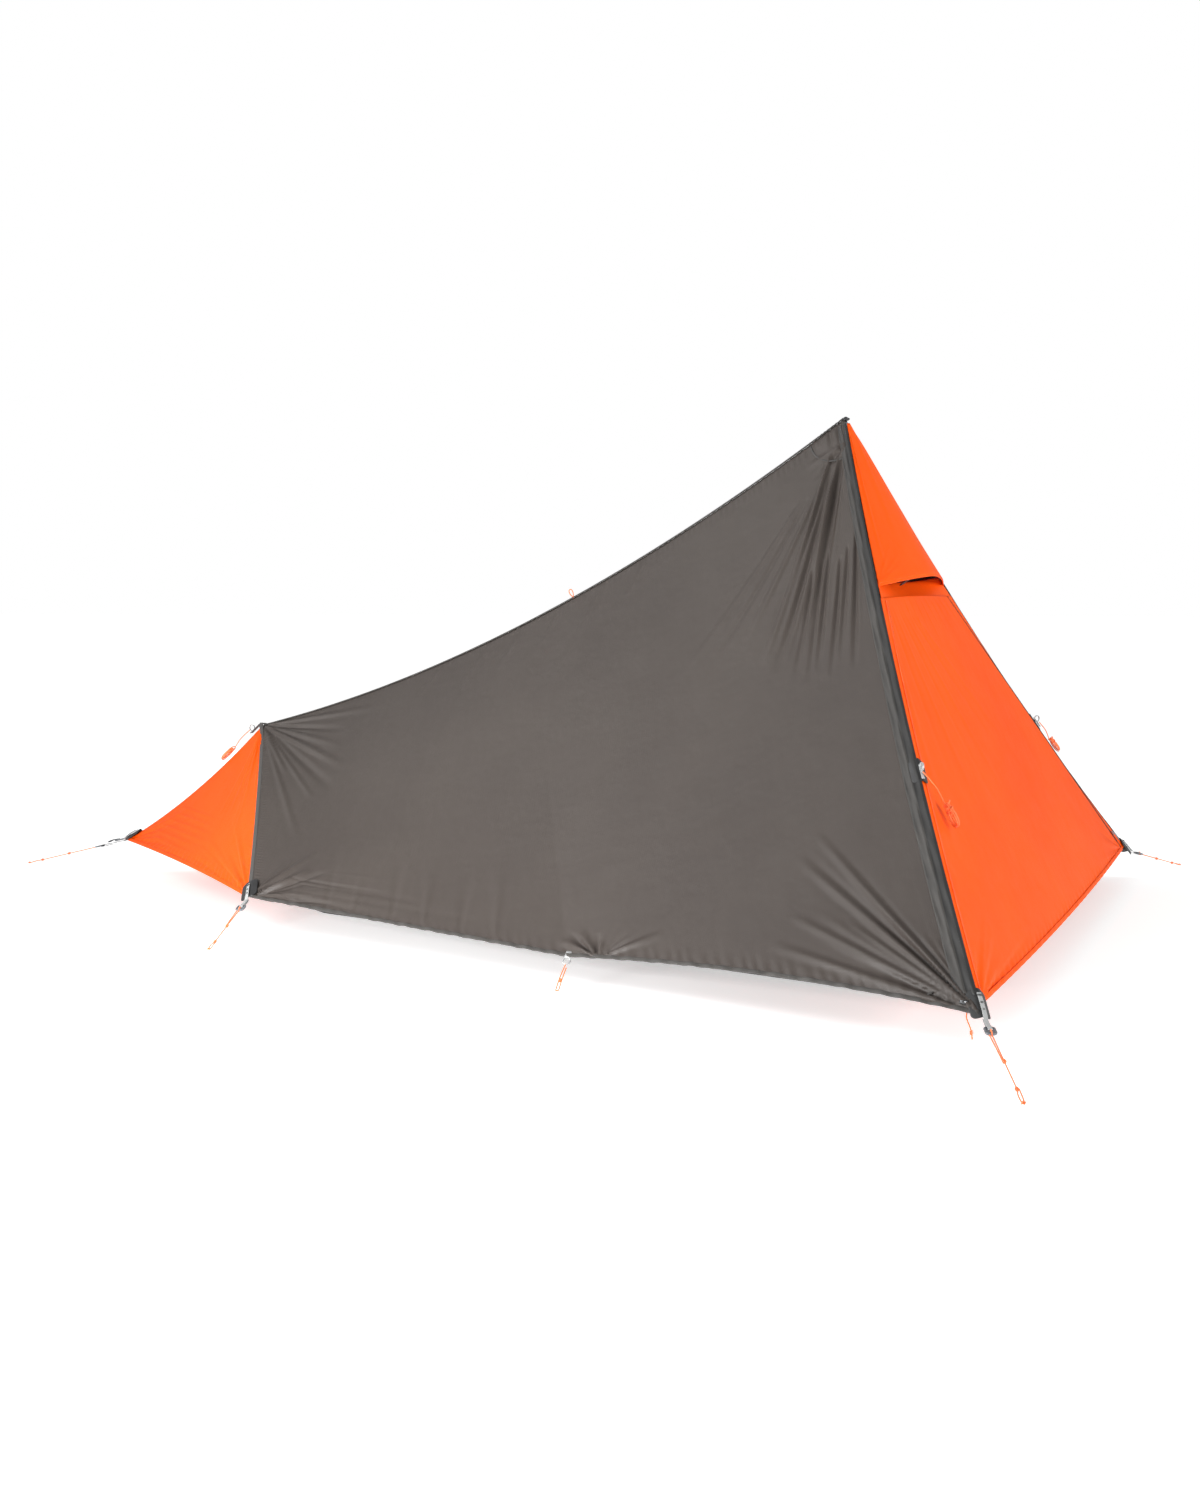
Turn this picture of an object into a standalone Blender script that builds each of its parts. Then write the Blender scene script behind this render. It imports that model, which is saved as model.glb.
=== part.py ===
"""A one-person single-wall tent, pitched on two poles and held by guy lines.

Metres, +Z up, +X towards the door, near side at -Y. The origin is on the ground in the
middle of the tent. Every sub-part is one object, and its name is the part's name.
"""
import math

import bmesh
import bpy
from mathutils import Matrix, Vector

# Driving dimensions of the canopy, measured from the front pole's foot
FRONT_POLE_X = 0.87406
APEX_HEIGHT = 1.250
FOOT_APEX = (-1.722, 0.0, 0.455)
FRONT_CORNER = (0.558, 1.013, 0.075)
FOOT_CORNER = (-1.357, 0.578, 0.081)
FOOT_TIP = (-2.223, 0.0, 0.096)
HEM_LOOP = (-0.380, 0.781, 0.055)
RIDGE_SAG = 0.097
FOOT_SAG = 0.025
FRONT_EDGE_SAG = (-0.011, 0.005, -0.030)
HEM_LIFT = 0.016

# Where the guy lines meet the ground
FRONT_ANCHOR = (0.677, 1.266)
FOOT_CORNER_ANCHOR = (-1.301, 0.813)
HEM_ANCHOR = (-0.367, 0.862)
TIP_ANCHOR = (-2.609, 0.0)

# Fabric, seams and cords
FABRIC = 0.002
SEAM = 0.006
CORD = 0.0025
GAP = 0.0005
GROUND_CLEARANCE = 0.0006

# Door, vent and zip, as fractions of the front edge from apex to corner
HOOD_TOP = 0.050
BROW = 0.320
DOOR_TOP = 0.350
DOOR_BOTTOM = 0.960
BROW_LIFT = (0.050, 0.0, 0.024)
HINGE_OFFSET = 0.005
BAND_WIDTH = 0.045
FLAP_SPAN = (0.020, 0.930)
FLAP_WIDTHS = (0.022, 0.042)
ZIP_WIDTH = 0.005
ZIP_THICKNESS = 0.0022
ZIP_CLEARANCE = 0.0052
FLAP_SHEET = 0.0012
SLIDER = (0.0062, 0.014, 0.0045)
PULL = (0.0050, 0.034, 0.0022)
DOOR_HEM_DROP = 0.034

# Poles
POLE_RADIUS = 0.0062
POLE_WALL = 0.0009
TIP_RADIUS = 0.0040
POLE_FOOT_RADIUS = 0.011
POLE_FOOT_HEIGHT = 0.022
POLE_HEAD_ROOM = 0.014
POLE_OVERLAP = 0.040

# Floor
FLOOR_FRONT = (0.320, 0.640)
FLOOR_BACK = (-1.300, 0.345)
FLOOR_TIP = -1.900
FLOOR_SHEET = 0.0025
FLOOR_WALL = 0.048
FLOOR_FLARE = 0.012

# Fittings
PATCH = (0.027, 0.058, 0.0035)
PATCH_LIFT = 0.0045
WEBBING = (0.014, 0.034, 0.0018)
LINE_LOCK = (0.022, 0.027, 0.0070)
LOCK_SLOT = (0.0145, 0.0030)
RING_MAJOR = 0.0085
RING_MINOR = 0.0016
HANK = (0.026, 0.056, 0.012)
TIE_OUT = 0.640
HANK_DROP = 0.105
TIE_GAP = 0.003
RIDGE_LOOP_AT = 0.425

COLLECTION_NAME = "pole_tent"
CUTTER_COLLECTION_NAME = "cutters"
SIDES = (("near", -1.0), ("far", 1.0))

ORANGE = (0.98, 0.13, 0.02)
PALE_ORANGE = (0.98, 0.20, 0.06)
GREY = (0.15, 0.135, 0.125)
CHARCOAL = (0.035, 0.033, 0.033)
BLACK = (0.012, 0.012, 0.013)
SILVER = (0.66, 0.67, 0.68)
FLOOR_GREY = (0.05, 0.05, 0.055)


# ---------------------------------------------------------------- scene helpers

def clear_scene():
    for scene_object in list(bpy.data.objects):
        bpy.data.objects.remove(scene_object, do_unlink=True)


def new_collection(name):
    collection = bpy.data.collections.new(name)
    bpy.context.scene.collection.children.link(collection)
    return collection


def new_material(name, colour, roughness=0.6, metallic=0.0):
    material = bpy.data.materials.new(name)
    material.use_nodes = True
    shader = material.node_tree.nodes["Principled BSDF"]
    shader.inputs["Base Color"].default_value = (*colour, 1.0)
    shader.inputs["Roughness"].default_value = roughness
    shader.inputs["Metallic"].default_value = metallic
    material.diffuse_color = (*colour, 1.0)
    return material


def add_object(name, data, collection, material=None, matrix=None):
    new_object = bpy.data.objects.new(name, data)
    collection.objects.link(new_object)
    if material:
        data.materials.append(material)
    if matrix:
        new_object.matrix_world = matrix
    return new_object


def add_empty(name, collection, matrix):
    empty = add_object(name, None, collection)
    empty.empty_display_size = 0.05
    empty.matrix_world = matrix
    return empty


def attach(child, parent):
    """Parent a piece to an empty, and leave it where it is."""
    bpy.context.view_layer.update()
    child.parent = parent
    child.matrix_parent_inverse = parent.matrix_world.inverted()


def axes_matrix(origin, x_axis, y_axis, z_axis):
    matrix = Matrix((x_axis, y_axis, z_axis)).transposed().to_4x4()
    matrix.translation = origin
    return matrix


# ---------------------------------------------------------------- canopy geometry

def at(point, side=1.0):
    """A canopy point on one side, in the part's frame."""
    return Vector((FRONT_POLE_X + point[0], side * point[1], point[2]))


def on_ground(point, side=1.0):
    return Vector((FRONT_POLE_X + point[0], side * point[1], CORD / 2 + GROUND_CLEARANCE))


def sagging(start, end, sag):
    """A taut seam: a parabola through both ends that hangs by sag in the middle."""
    sag = Vector(sag)
    return lambda t: start.lerp(end, t) + 4 * t * (1 - t) * sag


def flat_bottomed(start, end, drop):
    """A hem that drops quickly at both ends and runs level between them."""
    drop = Vector(drop)
    return lambda t: start.lerp(end, t) + (1 - (2 * t - 1) ** 4) * drop


def part_of(curve, first, last):
    return lambda t: curve(first + (last - first) * t)


def offset_curve(curve, shift):
    shift = Vector(shift)
    return lambda t: curve(t) + shift


def apex():
    return at((0.0, 0.0, APEX_HEIGHT))


def ridge():
    return sagging(apex(), at(FOOT_APEX), (0, 0, -RIDGE_SAG))


def foot_ridge():
    return sagging(at(FOOT_APEX), at(FOOT_TIP), (0, 0, -FOOT_SAG))


def front_edge(side):
    sag_x, sag_y, sag_z = FRONT_EDGE_SAG
    return sagging(apex(), at(FRONT_CORNER, side), (sag_x, -side * sag_y, sag_z))


def foot_seam(side):
    return sagging(at(FOOT_APEX), at(FOOT_CORNER, side), (0.005, 0, 0))


def hem(side):
    """The long hem, from the front corner past the hem loop to the foot corner."""
    corner, loop, foot = at(FRONT_CORNER, side), at(HEM_LOOP, side), at(FOOT_CORNER, side)
    split = (corner - loop).length / ((corner - loop).length + (loop - foot).length)
    front_part = sagging(corner, loop, (0, -side * 0.012, HEM_LIFT))
    foot_part = sagging(loop, foot, (0, -side * 0.008, HEM_LIFT))
    return lambda t: front_part(t / split) if t < split else foot_part((t - split) / (1 - split))


def foot_hem(side):
    return sagging(at(FOOT_TIP), at(FOOT_CORNER, side), (0.018, -side * 0.012, 0.030))


def straight_line(side, width):
    """A straight line down the front, that far inside the edge."""
    edge = front_edge(side)
    top = edge(DOOR_TOP) - Vector((0, side * width, 0))
    bottom = edge(DOOR_BOTTOM) - Vector((0, side * width, 0))
    return lambda t: top.lerp(bottom, t)


def hinge_line():
    """The door turns about this line, at its near edge."""
    return straight_line(-1.0, HINGE_OFFSET)


def zip_line():
    """The zip runs down the far side of the door, beside its band."""
    return straight_line(1.0, BAND_WIDTH)


def door_normal():
    across = zip_line()(1.0) - hinge_line()(1.0)
    down = hinge_line()(1.0) - hinge_line()(0.0)
    return down.cross(across).normalized()


def side_normal(side, t):
    """Outward normal of the side panel beside its front edge."""
    edge = front_edge(side)
    down = (edge(t + 0.02) - edge(t)).normalized()
    back = (side_surface(side)(0.02, t) - edge(t)).normalized()
    normal = down.cross(back)
    return (normal * (1.0 if normal.y * side > 0 else -1.0)).normalized()


def side_surface(side):
    """The side panel's surface: u runs back from the door and v down from the ridge."""
    top, bottom, left, right = side_seams(side)

    def place(u, v):
        corners = (top(0) * (1 - u) * (1 - v) + top(1) * u * (1 - v)
                   + bottom(0) * (1 - u) * v + bottom(1) * u * v)
        return top(u) * (1 - v) + bottom(u) * v + left(v) * (1 - u) + right(v) * u - corners
    return place


def side_seams(side):
    return ridge(), hem(side), front_edge(side), foot_seam(side)


def curve_length(curve, steps=24):
    points = [curve(i / steps) for i in range(steps + 1)]
    return sum((b - a).length for a, b in zip(points, points[1:]))


def coons_surface(top, bottom, left, right, columns, rows, insets):
    """A taut panel between four seams, as a grid mesh that stops short of each seam.

    insets are the distances kept from the top, bottom, left and right seams.
    """
    height = min(curve_length(left), curve_length(right))
    width = max(curve_length(bottom), curve_length(top))
    first_v, last_v = insets[0] / height, 1 - insets[1] / height
    first_u, last_u = insets[2] / width, 1 - insets[3] / width
    vertices = []
    for row in range(rows + 1):
        v = first_v + (last_v - first_v) * row / rows
        here = (1 - v) * curve_length(top) + v * curve_length(bottom)
        left_u, right_u = first_u * width / here, 1 - (1 - last_u) * width / here
        for column in range(columns + 1):
            u = left_u + (right_u - left_u) * column / columns
            ruled = top(u) * (1 - v) + bottom(u) * v + left(v) * (1 - u) + right(v) * u
            corners = (top(0) * (1 - u) * (1 - v) + top(1) * u * (1 - v)
                       + bottom(0) * (1 - u) * v + bottom(1) * u * v)
            vertices.append(ruled - corners)
    faces = []
    for row in range(rows):
        for column in range(columns):
            corner = row * (columns + 1) + column
            faces.append((corner, corner + 1, corner + columns + 2, corner + columns + 1))
    return vertices, faces


# ---------------------------------------------------------------- piece builders

def panel(name, seams, cells, insets, material, collection, thickness=FABRIC, origin=None):
    """A fabric panel: a taut surface between four seams, thickened by Solidify."""
    vertices, faces = coons_surface(*seams, *cells, insets)
    origin = origin or Vector()
    mesh = bpy.data.meshes.new(name)
    mesh.from_pydata([v - origin for v in vertices], [], faces)
    piece = add_object(name, mesh, collection, material, Matrix.Translation(origin))
    solidify = piece.modifiers.new("fabric", "SOLIDIFY")
    solidify.thickness = thickness
    solidify.offset = 0.0
    return piece


def block(name, size, matrix, material, collection, bevel=0.0):
    """A box of the given size with rounded edges."""
    mesh = bpy.data.meshes.new(name)
    shape = bmesh.new()
    bmesh.ops.create_cube(shape, size=1.0)
    bmesh.ops.scale(shape, vec=size, verts=shape.verts)
    shape.to_mesh(mesh)
    shape.free()
    piece = add_object(name, mesh, collection, material, matrix)
    if bevel:
        rounding = piece.modifiers.new("rounded_edges", "BEVEL")
        rounding.width = bevel
        rounding.segments = 1
    return piece


def tube(name, points, diameter, material, collection, sides=2):
    """A cord or binding: a poly spline with a round bevel and closed ends."""
    data = bpy.data.curves.new(name, "CURVE")
    data.dimensions = "3D"
    data.bevel_depth = diameter / 2
    data.bevel_resolution = sides
    data.use_fill_caps = True
    spline = data.splines.new("POLY")
    spline.points.add(len(points) - 1)
    for spline_point, place in zip(spline.points, points):
        spline_point.co = (*place, 1.0)
    return add_object(name, data, collection, material)


def smooth_route(points, spacing):
    """Points at an even spacing along a smooth curve through the route's own points."""
    padded = [2 * points[0] - points[1], *points, 2 * points[-1] - points[-2]]
    dense = []
    for p0, p1, p2, p3 in zip(padded, padded[1:], padded[2:], padded[3:]):
        for step in range(16):
            t = step / 16
            dense.append(0.5 * (2 * p1 + (p2 - p0) * t + (2 * p0 - 5 * p1 + 4 * p2 - p3) * t ** 2
                                + (3 * p1 - p0 - 3 * p2 + p3) * t ** 3))
    dense.append(points[-1])
    total = sum((b - a).length for a, b in zip(dense, dense[1:]))
    count = max(2, round(total / spacing))
    route, walked, target = [dense[0]], 0.0, total / count
    for a, b in zip(dense, dense[1:]):
        step = (b - a).length
        while step > 0 and walked + step >= target - 1e-9 and len(route) < count:
            route.append(a.lerp(b, (target - walked) / step))
            target += total / count
        walked += step
    route.append(dense[-1])
    lowest = CORD / 2 + GROUND_CLEARANCE
    return [Vector((place.x, place.y, max(place.z, lowest))) for place in route]


def turned(name, profile, matrix, material, collection, steps=14):
    """A turned solid: a (radius, height) profile, down its outer side, swept by Screw."""
    mesh = bpy.data.meshes.new(name)
    shape = bmesh.new()
    corners = [shape.verts.new((radius, 0, height)) for radius, height in profile]
    for first, second in zip(corners, corners[1:]):
        shape.edges.new((first, second))
    shape.to_mesh(mesh)
    shape.free()
    piece = add_object(name, mesh, collection, material, matrix)
    screw = piece.modifiers.new("turn", "SCREW")
    screw.steps = steps
    screw.render_steps = steps
    screw.use_merge_vertices = True
    screw.merge_threshold = 0.00005
    return piece


def ring(name, matrix, material, collection, major=RING_MAJOR, minor=RING_MINOR):
    """A small sewn loop, as a torus in the matrix's XY plane."""
    bpy.ops.mesh.primitive_torus_add(
        major_radius=major, minor_radius=minor, major_segments=14, minor_segments=6)
    piece = bpy.context.object
    piece.name = name
    piece.data.name = name
    piece.data.materials.append(material)
    piece.matrix_world = matrix
    for owner in list(piece.users_collection):
        owner.objects.unlink(piece)
    collection.objects.link(piece)
    return piece


def outline_solid(name, outline, thickness, matrix, material, collection):
    """A flat outline in the matrix's XY plane, thickened about that plane."""
    data = bpy.data.curves.new(name, "CURVE")
    data.dimensions = "2D"
    data.fill_mode = "BOTH"
    data.extrude = thickness / 2
    spline = data.splines.new("POLY")
    spline.points.add(len(outline) - 1)
    for spline_point, (x, y) in zip(spline.points, outline):
        spline_point.co = (x, y, 0.0, 1.0)
    spline.use_cyclic_u = True
    curve_object = add_object(name + "_outline", data, collection, None, matrix)
    bpy.context.view_layer.update()
    evaluated = curve_object.evaluated_get(bpy.context.evaluated_depsgraph_get())
    mesh = bpy.data.meshes.new_from_object(evaluated)
    bpy.data.objects.remove(curve_object, do_unlink=True)
    shape = bmesh.new()
    shape.from_mesh(mesh)
    bmesh.ops.remove_doubles(shape, verts=shape.verts, dist=0.00005)
    shape.to_mesh(mesh)
    shape.free()
    mesh.name = name
    mesh.materials.clear()
    return add_object(name, mesh, collection, material, matrix)


def rounded_outline(width, length, radius, steps=3):
    """A rectangle with round corners, as a list of points."""
    outline = []
    for quarter, (sign_x, sign_y) in enumerate(((1, 1), (-1, 1), (-1, -1), (1, -1))):
        centre_x = sign_x * (width / 2 - radius)
        centre_y = sign_y * (length / 2 - radius)
        for step in range(steps + 1):
            angle = math.radians(90) * (quarter + step / steps)
            outline.append((centre_x + radius * math.cos(angle), centre_y + radius * math.sin(angle)))
    return outline


def cut(piece, cutter):
    boolean = piece.modifiers.new("cut_" + cutter.name, "BOOLEAN")
    boolean.object = cutter
    boolean.solver = "EXACT"
    cutter.display_type = "WIRE"
    cutter.hide_render = True


# ---------------------------------------------------------------- canopy

def build_side_panels(collection, materials):
    for label, side in SIDES:
        panel(label + "_side_panel", side_seams(side), (26, 12), (SEAM, 0.0, SEAM, SEAM),
              materials["grey_ripstop"], collection)


def build_foot_panels(collection, materials):
    for label, side in SIDES:
        first = 0.06
        side_seam, middle = foot_seam(side), foot_ridge()
        top = sagging(middle(first), side_seam(first), (0, 0, 0))
        seams = (top, foot_hem(side), part_of(middle, first, 1), part_of(side_seam, first, 1))
        panel(label + "_foot_panel", seams, (10, 10), (SEAM, 0.0, 0.004, SEAM),
              materials["orange_ripstop"], collection)


def build_bindings(collection, materials):
    """The ridge tape and the binding over the foot pole, laid in the seams' gaps."""
    ridge_points = [ridge()(0.030 + 0.940 * i / 24) for i in range(25)]
    tube("ridge_binding", ridge_points, 0.0055, materials["charcoal_tape"], collection)
    over_pole = [foot_seam(-1.0)(1 - 0.96 * i / 12) for i in range(12)]
    arch = [at(FOOT_APEX) + Vector((0.002, y, 0.004)) for y in (-0.012, 0.012)]
    mirrored = [Vector((p.x, -p.y, p.z)) for p in reversed(over_pole)]
    tube("foot_seam_binding", [*over_pole[:-1], *arch, *mirrored[1:]], 0.004,
         materials["charcoal_tape"], collection)


def flap_edge(side, from_edge):
    """A line down the outside of a side panel, from_edge times the flap's width from the door."""
    surface, first, last = side_surface(side), *FLAP_SPAN

    def place(t):
        v = first + (last - first) * t
        width = FLAP_WIDTHS[0] + (FLAP_WIDTHS[1] - FLAP_WIDTHS[0]) * t
        row = (surface(0.5, v) - surface(0.0, v)).length * 2
        lift = FABRIC / 2 + 2 * GAP + FLAP_SHEET / 2
        return surface((0.003 + from_edge * width) / row, v) + lift * side_normal(side, v)
    return place


def build_flaps(collection, materials):
    """The dark flap down each front edge of the canopy, on the outside of the side panel."""
    for label, side in SIDES:
        front, back = flap_edge(side, 0.0), flap_edge(side, 1.0)
        top = sagging(front(0), back(0), (0, 0, 0))
        bottom = sagging(front(1), back(1), (0, 0, 0))
        panel(label + "_storm_flap", (top, bottom, front, back), (2, 20), (0.0, 0.0, 0.0, 0.0),
              materials["charcoal_flap"], collection, thickness=FLAP_SHEET)


def build_door(collection, materials):
    """The door turns about the line at its near edge; the zip joins it to the far band."""
    near_edge = part_of(front_edge(-1.0), DOOR_TOP, DOOR_BOTTOM)
    far_edge = part_of(front_edge(1.0), DOOR_TOP, DOOR_BOTTOM)
    line = zip_line()
    top = sagging(line(0), far_edge(0), (0, 0, 0))
    bottom = sagging(line(1), far_edge(1), (0, 0, 0))
    panel("far_door_band", (top, bottom, line, far_edge), (2, 16), (0.0, 0.0, ZIP_CLEARANCE, SEAM),
          materials["orange_ripstop"], collection, thickness=0.0016)

    top = sagging(near_edge(0), line(0), (0, 0, 0.004))
    bottom = flat_bottomed(near_edge(1), line(1), (0.014, 0, -DOOR_HEM_DROP))
    pivot = hinge_line()(1.0)
    door = panel("door_panel", (top, bottom, near_edge, line), (14, 12),
                 (0.0, 0.0, SEAM, ZIP_CLEARANCE), materials["orange_ripstop"], collection,
                 origin=pivot)
    hinge = add_empty("door_hinge", collection, Matrix.Translation(pivot))
    attach(door, hinge)
    return hinge


def build_vent(collection, materials):
    """The vent over the door: a hood with a raised brow, and the mesh behind it."""
    near_edge, far_edge = front_edge(-1.0), front_edge(1.0)
    top = sagging(near_edge(HOOD_TOP), far_edge(HOOD_TOP), (0.004, 0, 0.002))
    brow = sagging(near_edge(BROW), far_edge(BROW), BROW_LIFT)
    sides = (part_of(near_edge, HOOD_TOP, BROW), part_of(far_edge, HOOD_TOP, BROW))
    panel("vent_hood", (top, brow, *sides), (12, 8), (0.0, 0.0, SEAM, SEAM),
          materials["orange_ripstop"], collection)

    inward = -0.010 * door_normal()
    mesh_top = offset_curve(sagging(near_edge(0.10), far_edge(0.10), (0, 0, 0)), inward)
    mesh_bottom = offset_curve(sagging(near_edge(0.335), far_edge(0.335), (0, 0, 0)), inward)
    mesh_sides = [offset_curve(part_of(e, 0.10, 0.335), inward) for e in (near_edge, far_edge)]
    panel("vent_mesh", (mesh_top, mesh_bottom, *mesh_sides), (8, 6), (0.0, 0.0, 0.014, 0.014),
          materials["vent_netting"], collection, thickness=0.0012)
    build_hood_prop(collection, materials, brow, near_edge)


def build_hood_prop(collection, materials, brow, near_edge):
    """A stiff strut that stands between the netting and the brow, hinged at its foot."""
    foot = near_edge(0.335).lerp(front_edge(1.0)(0.335), 0.30) + 0.003 * door_normal()
    head = brow(0.30) - Vector((0.012, 0, 0.006))
    along = (head - foot).normalized()
    across = Vector((0, 1, 0))
    thick = along.cross(across).normalized()
    across = thick.cross(along).normalized()
    length = (head - foot).length
    middle = axes_matrix(foot + along * length / 2, across, along, thick)
    prop = block("hood_prop", (0.018, length, 0.0035), middle, materials["charcoal_tape"],
                 collection, bevel=0.0012)
    hinge = add_empty("hood_prop_hinge", collection, Matrix.Translation(foot))
    attach(prop, hinge)


def build_zip(collection, materials):
    """The zip chain in the far gap, with its slider and the pull that hangs on it."""
    line = zip_line()
    down = (line(1) - line(0)).normalized()
    normal = door_normal()
    across = normal.cross(down).normalized()
    length = (line(1) - line(0)).length
    matrix = axes_matrix((line(0) + line(1)) / 2, across, down, normal)
    block("zip_chain", (ZIP_WIDTH, length - 0.004, ZIP_THICKNESS), matrix,
          materials["black_plastic"], collection)

    slider_width, slider_length, slider_height = SLIDER
    lift = ZIP_THICKNESS / 2 + GAP + slider_height / 2
    seat = line(1) - down * 0.030 + normal * lift
    slider = block("zip_slider", SLIDER, axes_matrix(seat, across, down, normal),
                   materials["brushed_metal"], collection, bevel=0.0008)
    slide = add_empty("zip_slide", collection, Matrix.Translation(seat))
    attach(slider, slide)

    pivot = seat + normal * (slider_height / 2 + GAP + PULL[2] / 2)
    centre = pivot + down * (PULL[1] / 2 - 0.001)
    pull = block("zip_pull", PULL, axes_matrix(centre, across, down, normal),
                 materials["brushed_metal"], collection, bevel=0.0006)
    swivel = add_empty("zip_pull_pivot", collection, Matrix.Translation(pivot))
    attach(pull, swivel)
    attach(swivel, slide)


def build_apex_cap(collection, materials):
    """A turned cap over the head of the front pole, outside the canopy."""
    cap_profile = ((0.0, 0.016), (0.006, 0.016), (0.009, 0.011), (0.010, 0.004),
                   (0.0075, 0.004), (0.0070, 0.009), (0.0, 0.010))
    turned("apex_cap", cap_profile, Matrix.Translation(apex() + Vector((0, 0, 0.002))),
           materials["black_plastic"], collection)


def build_ridge_loop(collection, materials):
    place = ridge()(RIDGE_LOOP_AT)
    along = (ridge()(RIDGE_LOOP_AT + 0.01) - place).normalized()
    across = Vector((0, 1, 0))
    up = across.cross(along) if across.cross(along).z > 0 else along.cross(across)
    centre = place + up * (0.00275 + GAP + RING_MAJOR + RING_MINOR)
    ring("ridge_loop", axes_matrix(centre, along, up, along.cross(up)),
         materials["orange_cord"], collection)


# ---------------------------------------------------------------- poles and floor

def build_poles(collection, materials):
    """Both poles stand on the floor: tubes on a rubber foot, with a plug in the head."""
    base = FLOOR_SHEET + GAP
    foot_profile = ((0.0, 0.006), (POLE_RADIUS + GAP, 0.006),
                    (POLE_RADIUS + GAP, POLE_FOOT_HEIGHT), (POLE_RADIUS + 0.002, POLE_FOOT_HEIGHT),
                    (POLE_FOOT_RADIUS, 0.006), (POLE_FOOT_RADIUS, 0.0), (0.0, 0.0))
    axis = Matrix.Translation((FRONT_POLE_X, 0, 0))
    foot_axis = Matrix.Translation((FRONT_POLE_X + FOOT_APEX[0], 0, 0))
    for name, matrix in (("front_pole_foot", axis), ("foot_pole_foot", foot_axis)):
        turned(name, [(radius, base + height) for radius, height in foot_profile], matrix,
               materials["black_rubber"], collection)
    bottom = base + 0.006 + GAP
    joint = base + APEX_HEIGHT / 2
    inner = POLE_RADIUS - POLE_WALL
    lower = ((inner, bottom), (inner, joint), (POLE_RADIUS, joint), (POLE_RADIUS, bottom),
             (inner, bottom))
    turned("front_pole_lower", lower, axis, materials["anodised_aluminium"], collection)
    sleeve_inner, sleeve_outer, low = POLE_RADIUS + GAP, POLE_RADIUS + 0.0015, joint - POLE_OVERLAP
    upper = ((sleeve_inner, low), (sleeve_inner, joint + GAP), (inner, joint + 0.004),
             *pole_head(APEX_HEIGHT - POLE_HEAD_ROOM), (sleeve_outer, joint), (sleeve_outer, low),
             (sleeve_inner, low))
    turned("front_pole_upper", upper, axis, materials["anodised_aluminium"], collection)
    short = ((inner, bottom), *pole_head(FOOT_APEX[2] - POLE_HEAD_ROOM), (POLE_RADIUS, bottom),
             (inner, bottom))
    turned("foot_pole", short, foot_axis, materials["anodised_aluminium"], collection)


def pole_head(top):
    """The end of a pole: the tube closes on a narrow tip that stands in the grommet."""
    inner = POLE_RADIUS - POLE_WALL
    return ((inner, top - 0.020), (0.0, top - 0.020), (0.0, top + 0.012),
            (TIP_RADIUS - 0.001, top + 0.012), (TIP_RADIUS, top + 0.001), (POLE_RADIUS, top))


def build_floor(collection, materials):
    """The bathtub floor: one sheet with its rim turned up, lying on the ground."""
    corners = [(FLOOR_FRONT[0], -FLOOR_FRONT[1]), (FLOOR_FRONT[0], FLOOR_FRONT[1]),
               (FLOOR_BACK[0], FLOOR_BACK[1]), (FLOOR_TIP, 0.0), (FLOOR_BACK[0], -FLOOR_BACK[1])]
    middle = sum((Vector((x, y)) for x, y in corners), Vector((0, 0))) / len(corners)
    mesh = bpy.data.meshes.new("bathtub_floor")
    shape = bmesh.new()

    def ring_of_corners(height, shift):
        row = []
        for x, y in corners:
            outward = (Vector((x, y)) - middle).normalized() * shift
            row.append(shape.verts.new((x + FRONT_POLE_X + outward.x, y + outward.y, height)))
        return row

    rings = [ring_of_corners(0.0, 0.0), ring_of_corners(FLOOR_WALL, FLOOR_FLARE),
             ring_of_corners(FLOOR_WALL, FLOOR_FLARE - 1.5 * FLOOR_SHEET),
             ring_of_corners(FLOOR_SHEET, -1.5 * FLOOR_SHEET)]
    for outer, inner in zip(rings, rings[1:]):
        for index in range(len(corners)):
            following = (index + 1) % len(corners)
            shape.faces.new((outer[index], outer[following], inner[following], inner[index]))
    shape.faces.new(rings[0])
    shape.faces.new(rings[-1])
    bmesh.ops.recalc_face_normals(shape, faces=shape.faces)
    shape.to_mesh(mesh)
    shape.free()
    add_object("bathtub_floor", mesh, collection, materials["floor_fabric"])


# ---------------------------------------------------------------- fittings and guy lines

def outward_frame(corner, anchor):
    """Axes of a guy line at its corner: across, outward along the line, and up."""
    outward = (anchor - corner).normalized()
    across = outward.cross(Vector((0, 0, 1))).normalized()
    return across, outward, across.cross(outward).normalized()


def line_lock(name, matrix, collection, cutters, materials):
    """A flat buckle with two slots across it."""
    width, length, height = LINE_LOCK
    lock = block(name, LINE_LOCK, matrix, materials["black_plastic"], collection, bevel=0.0015)
    for label, shift in (("webbing", -length / 4), ("cord", length / 4)):
        cutter = block(name + "_" + label + "_slot", (LOCK_SLOT[0], LOCK_SLOT[1], 2 * height),
                       matrix @ Matrix.Translation((0, shift, 0)), None, cutters)
        cut(lock, cutter)
    return lock


def webbing_strip(name, matrix, size, collection, materials, slot="silver_webbing"):
    return block(name, size, matrix, materials[slot], collection, bevel=0.0004)


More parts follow.
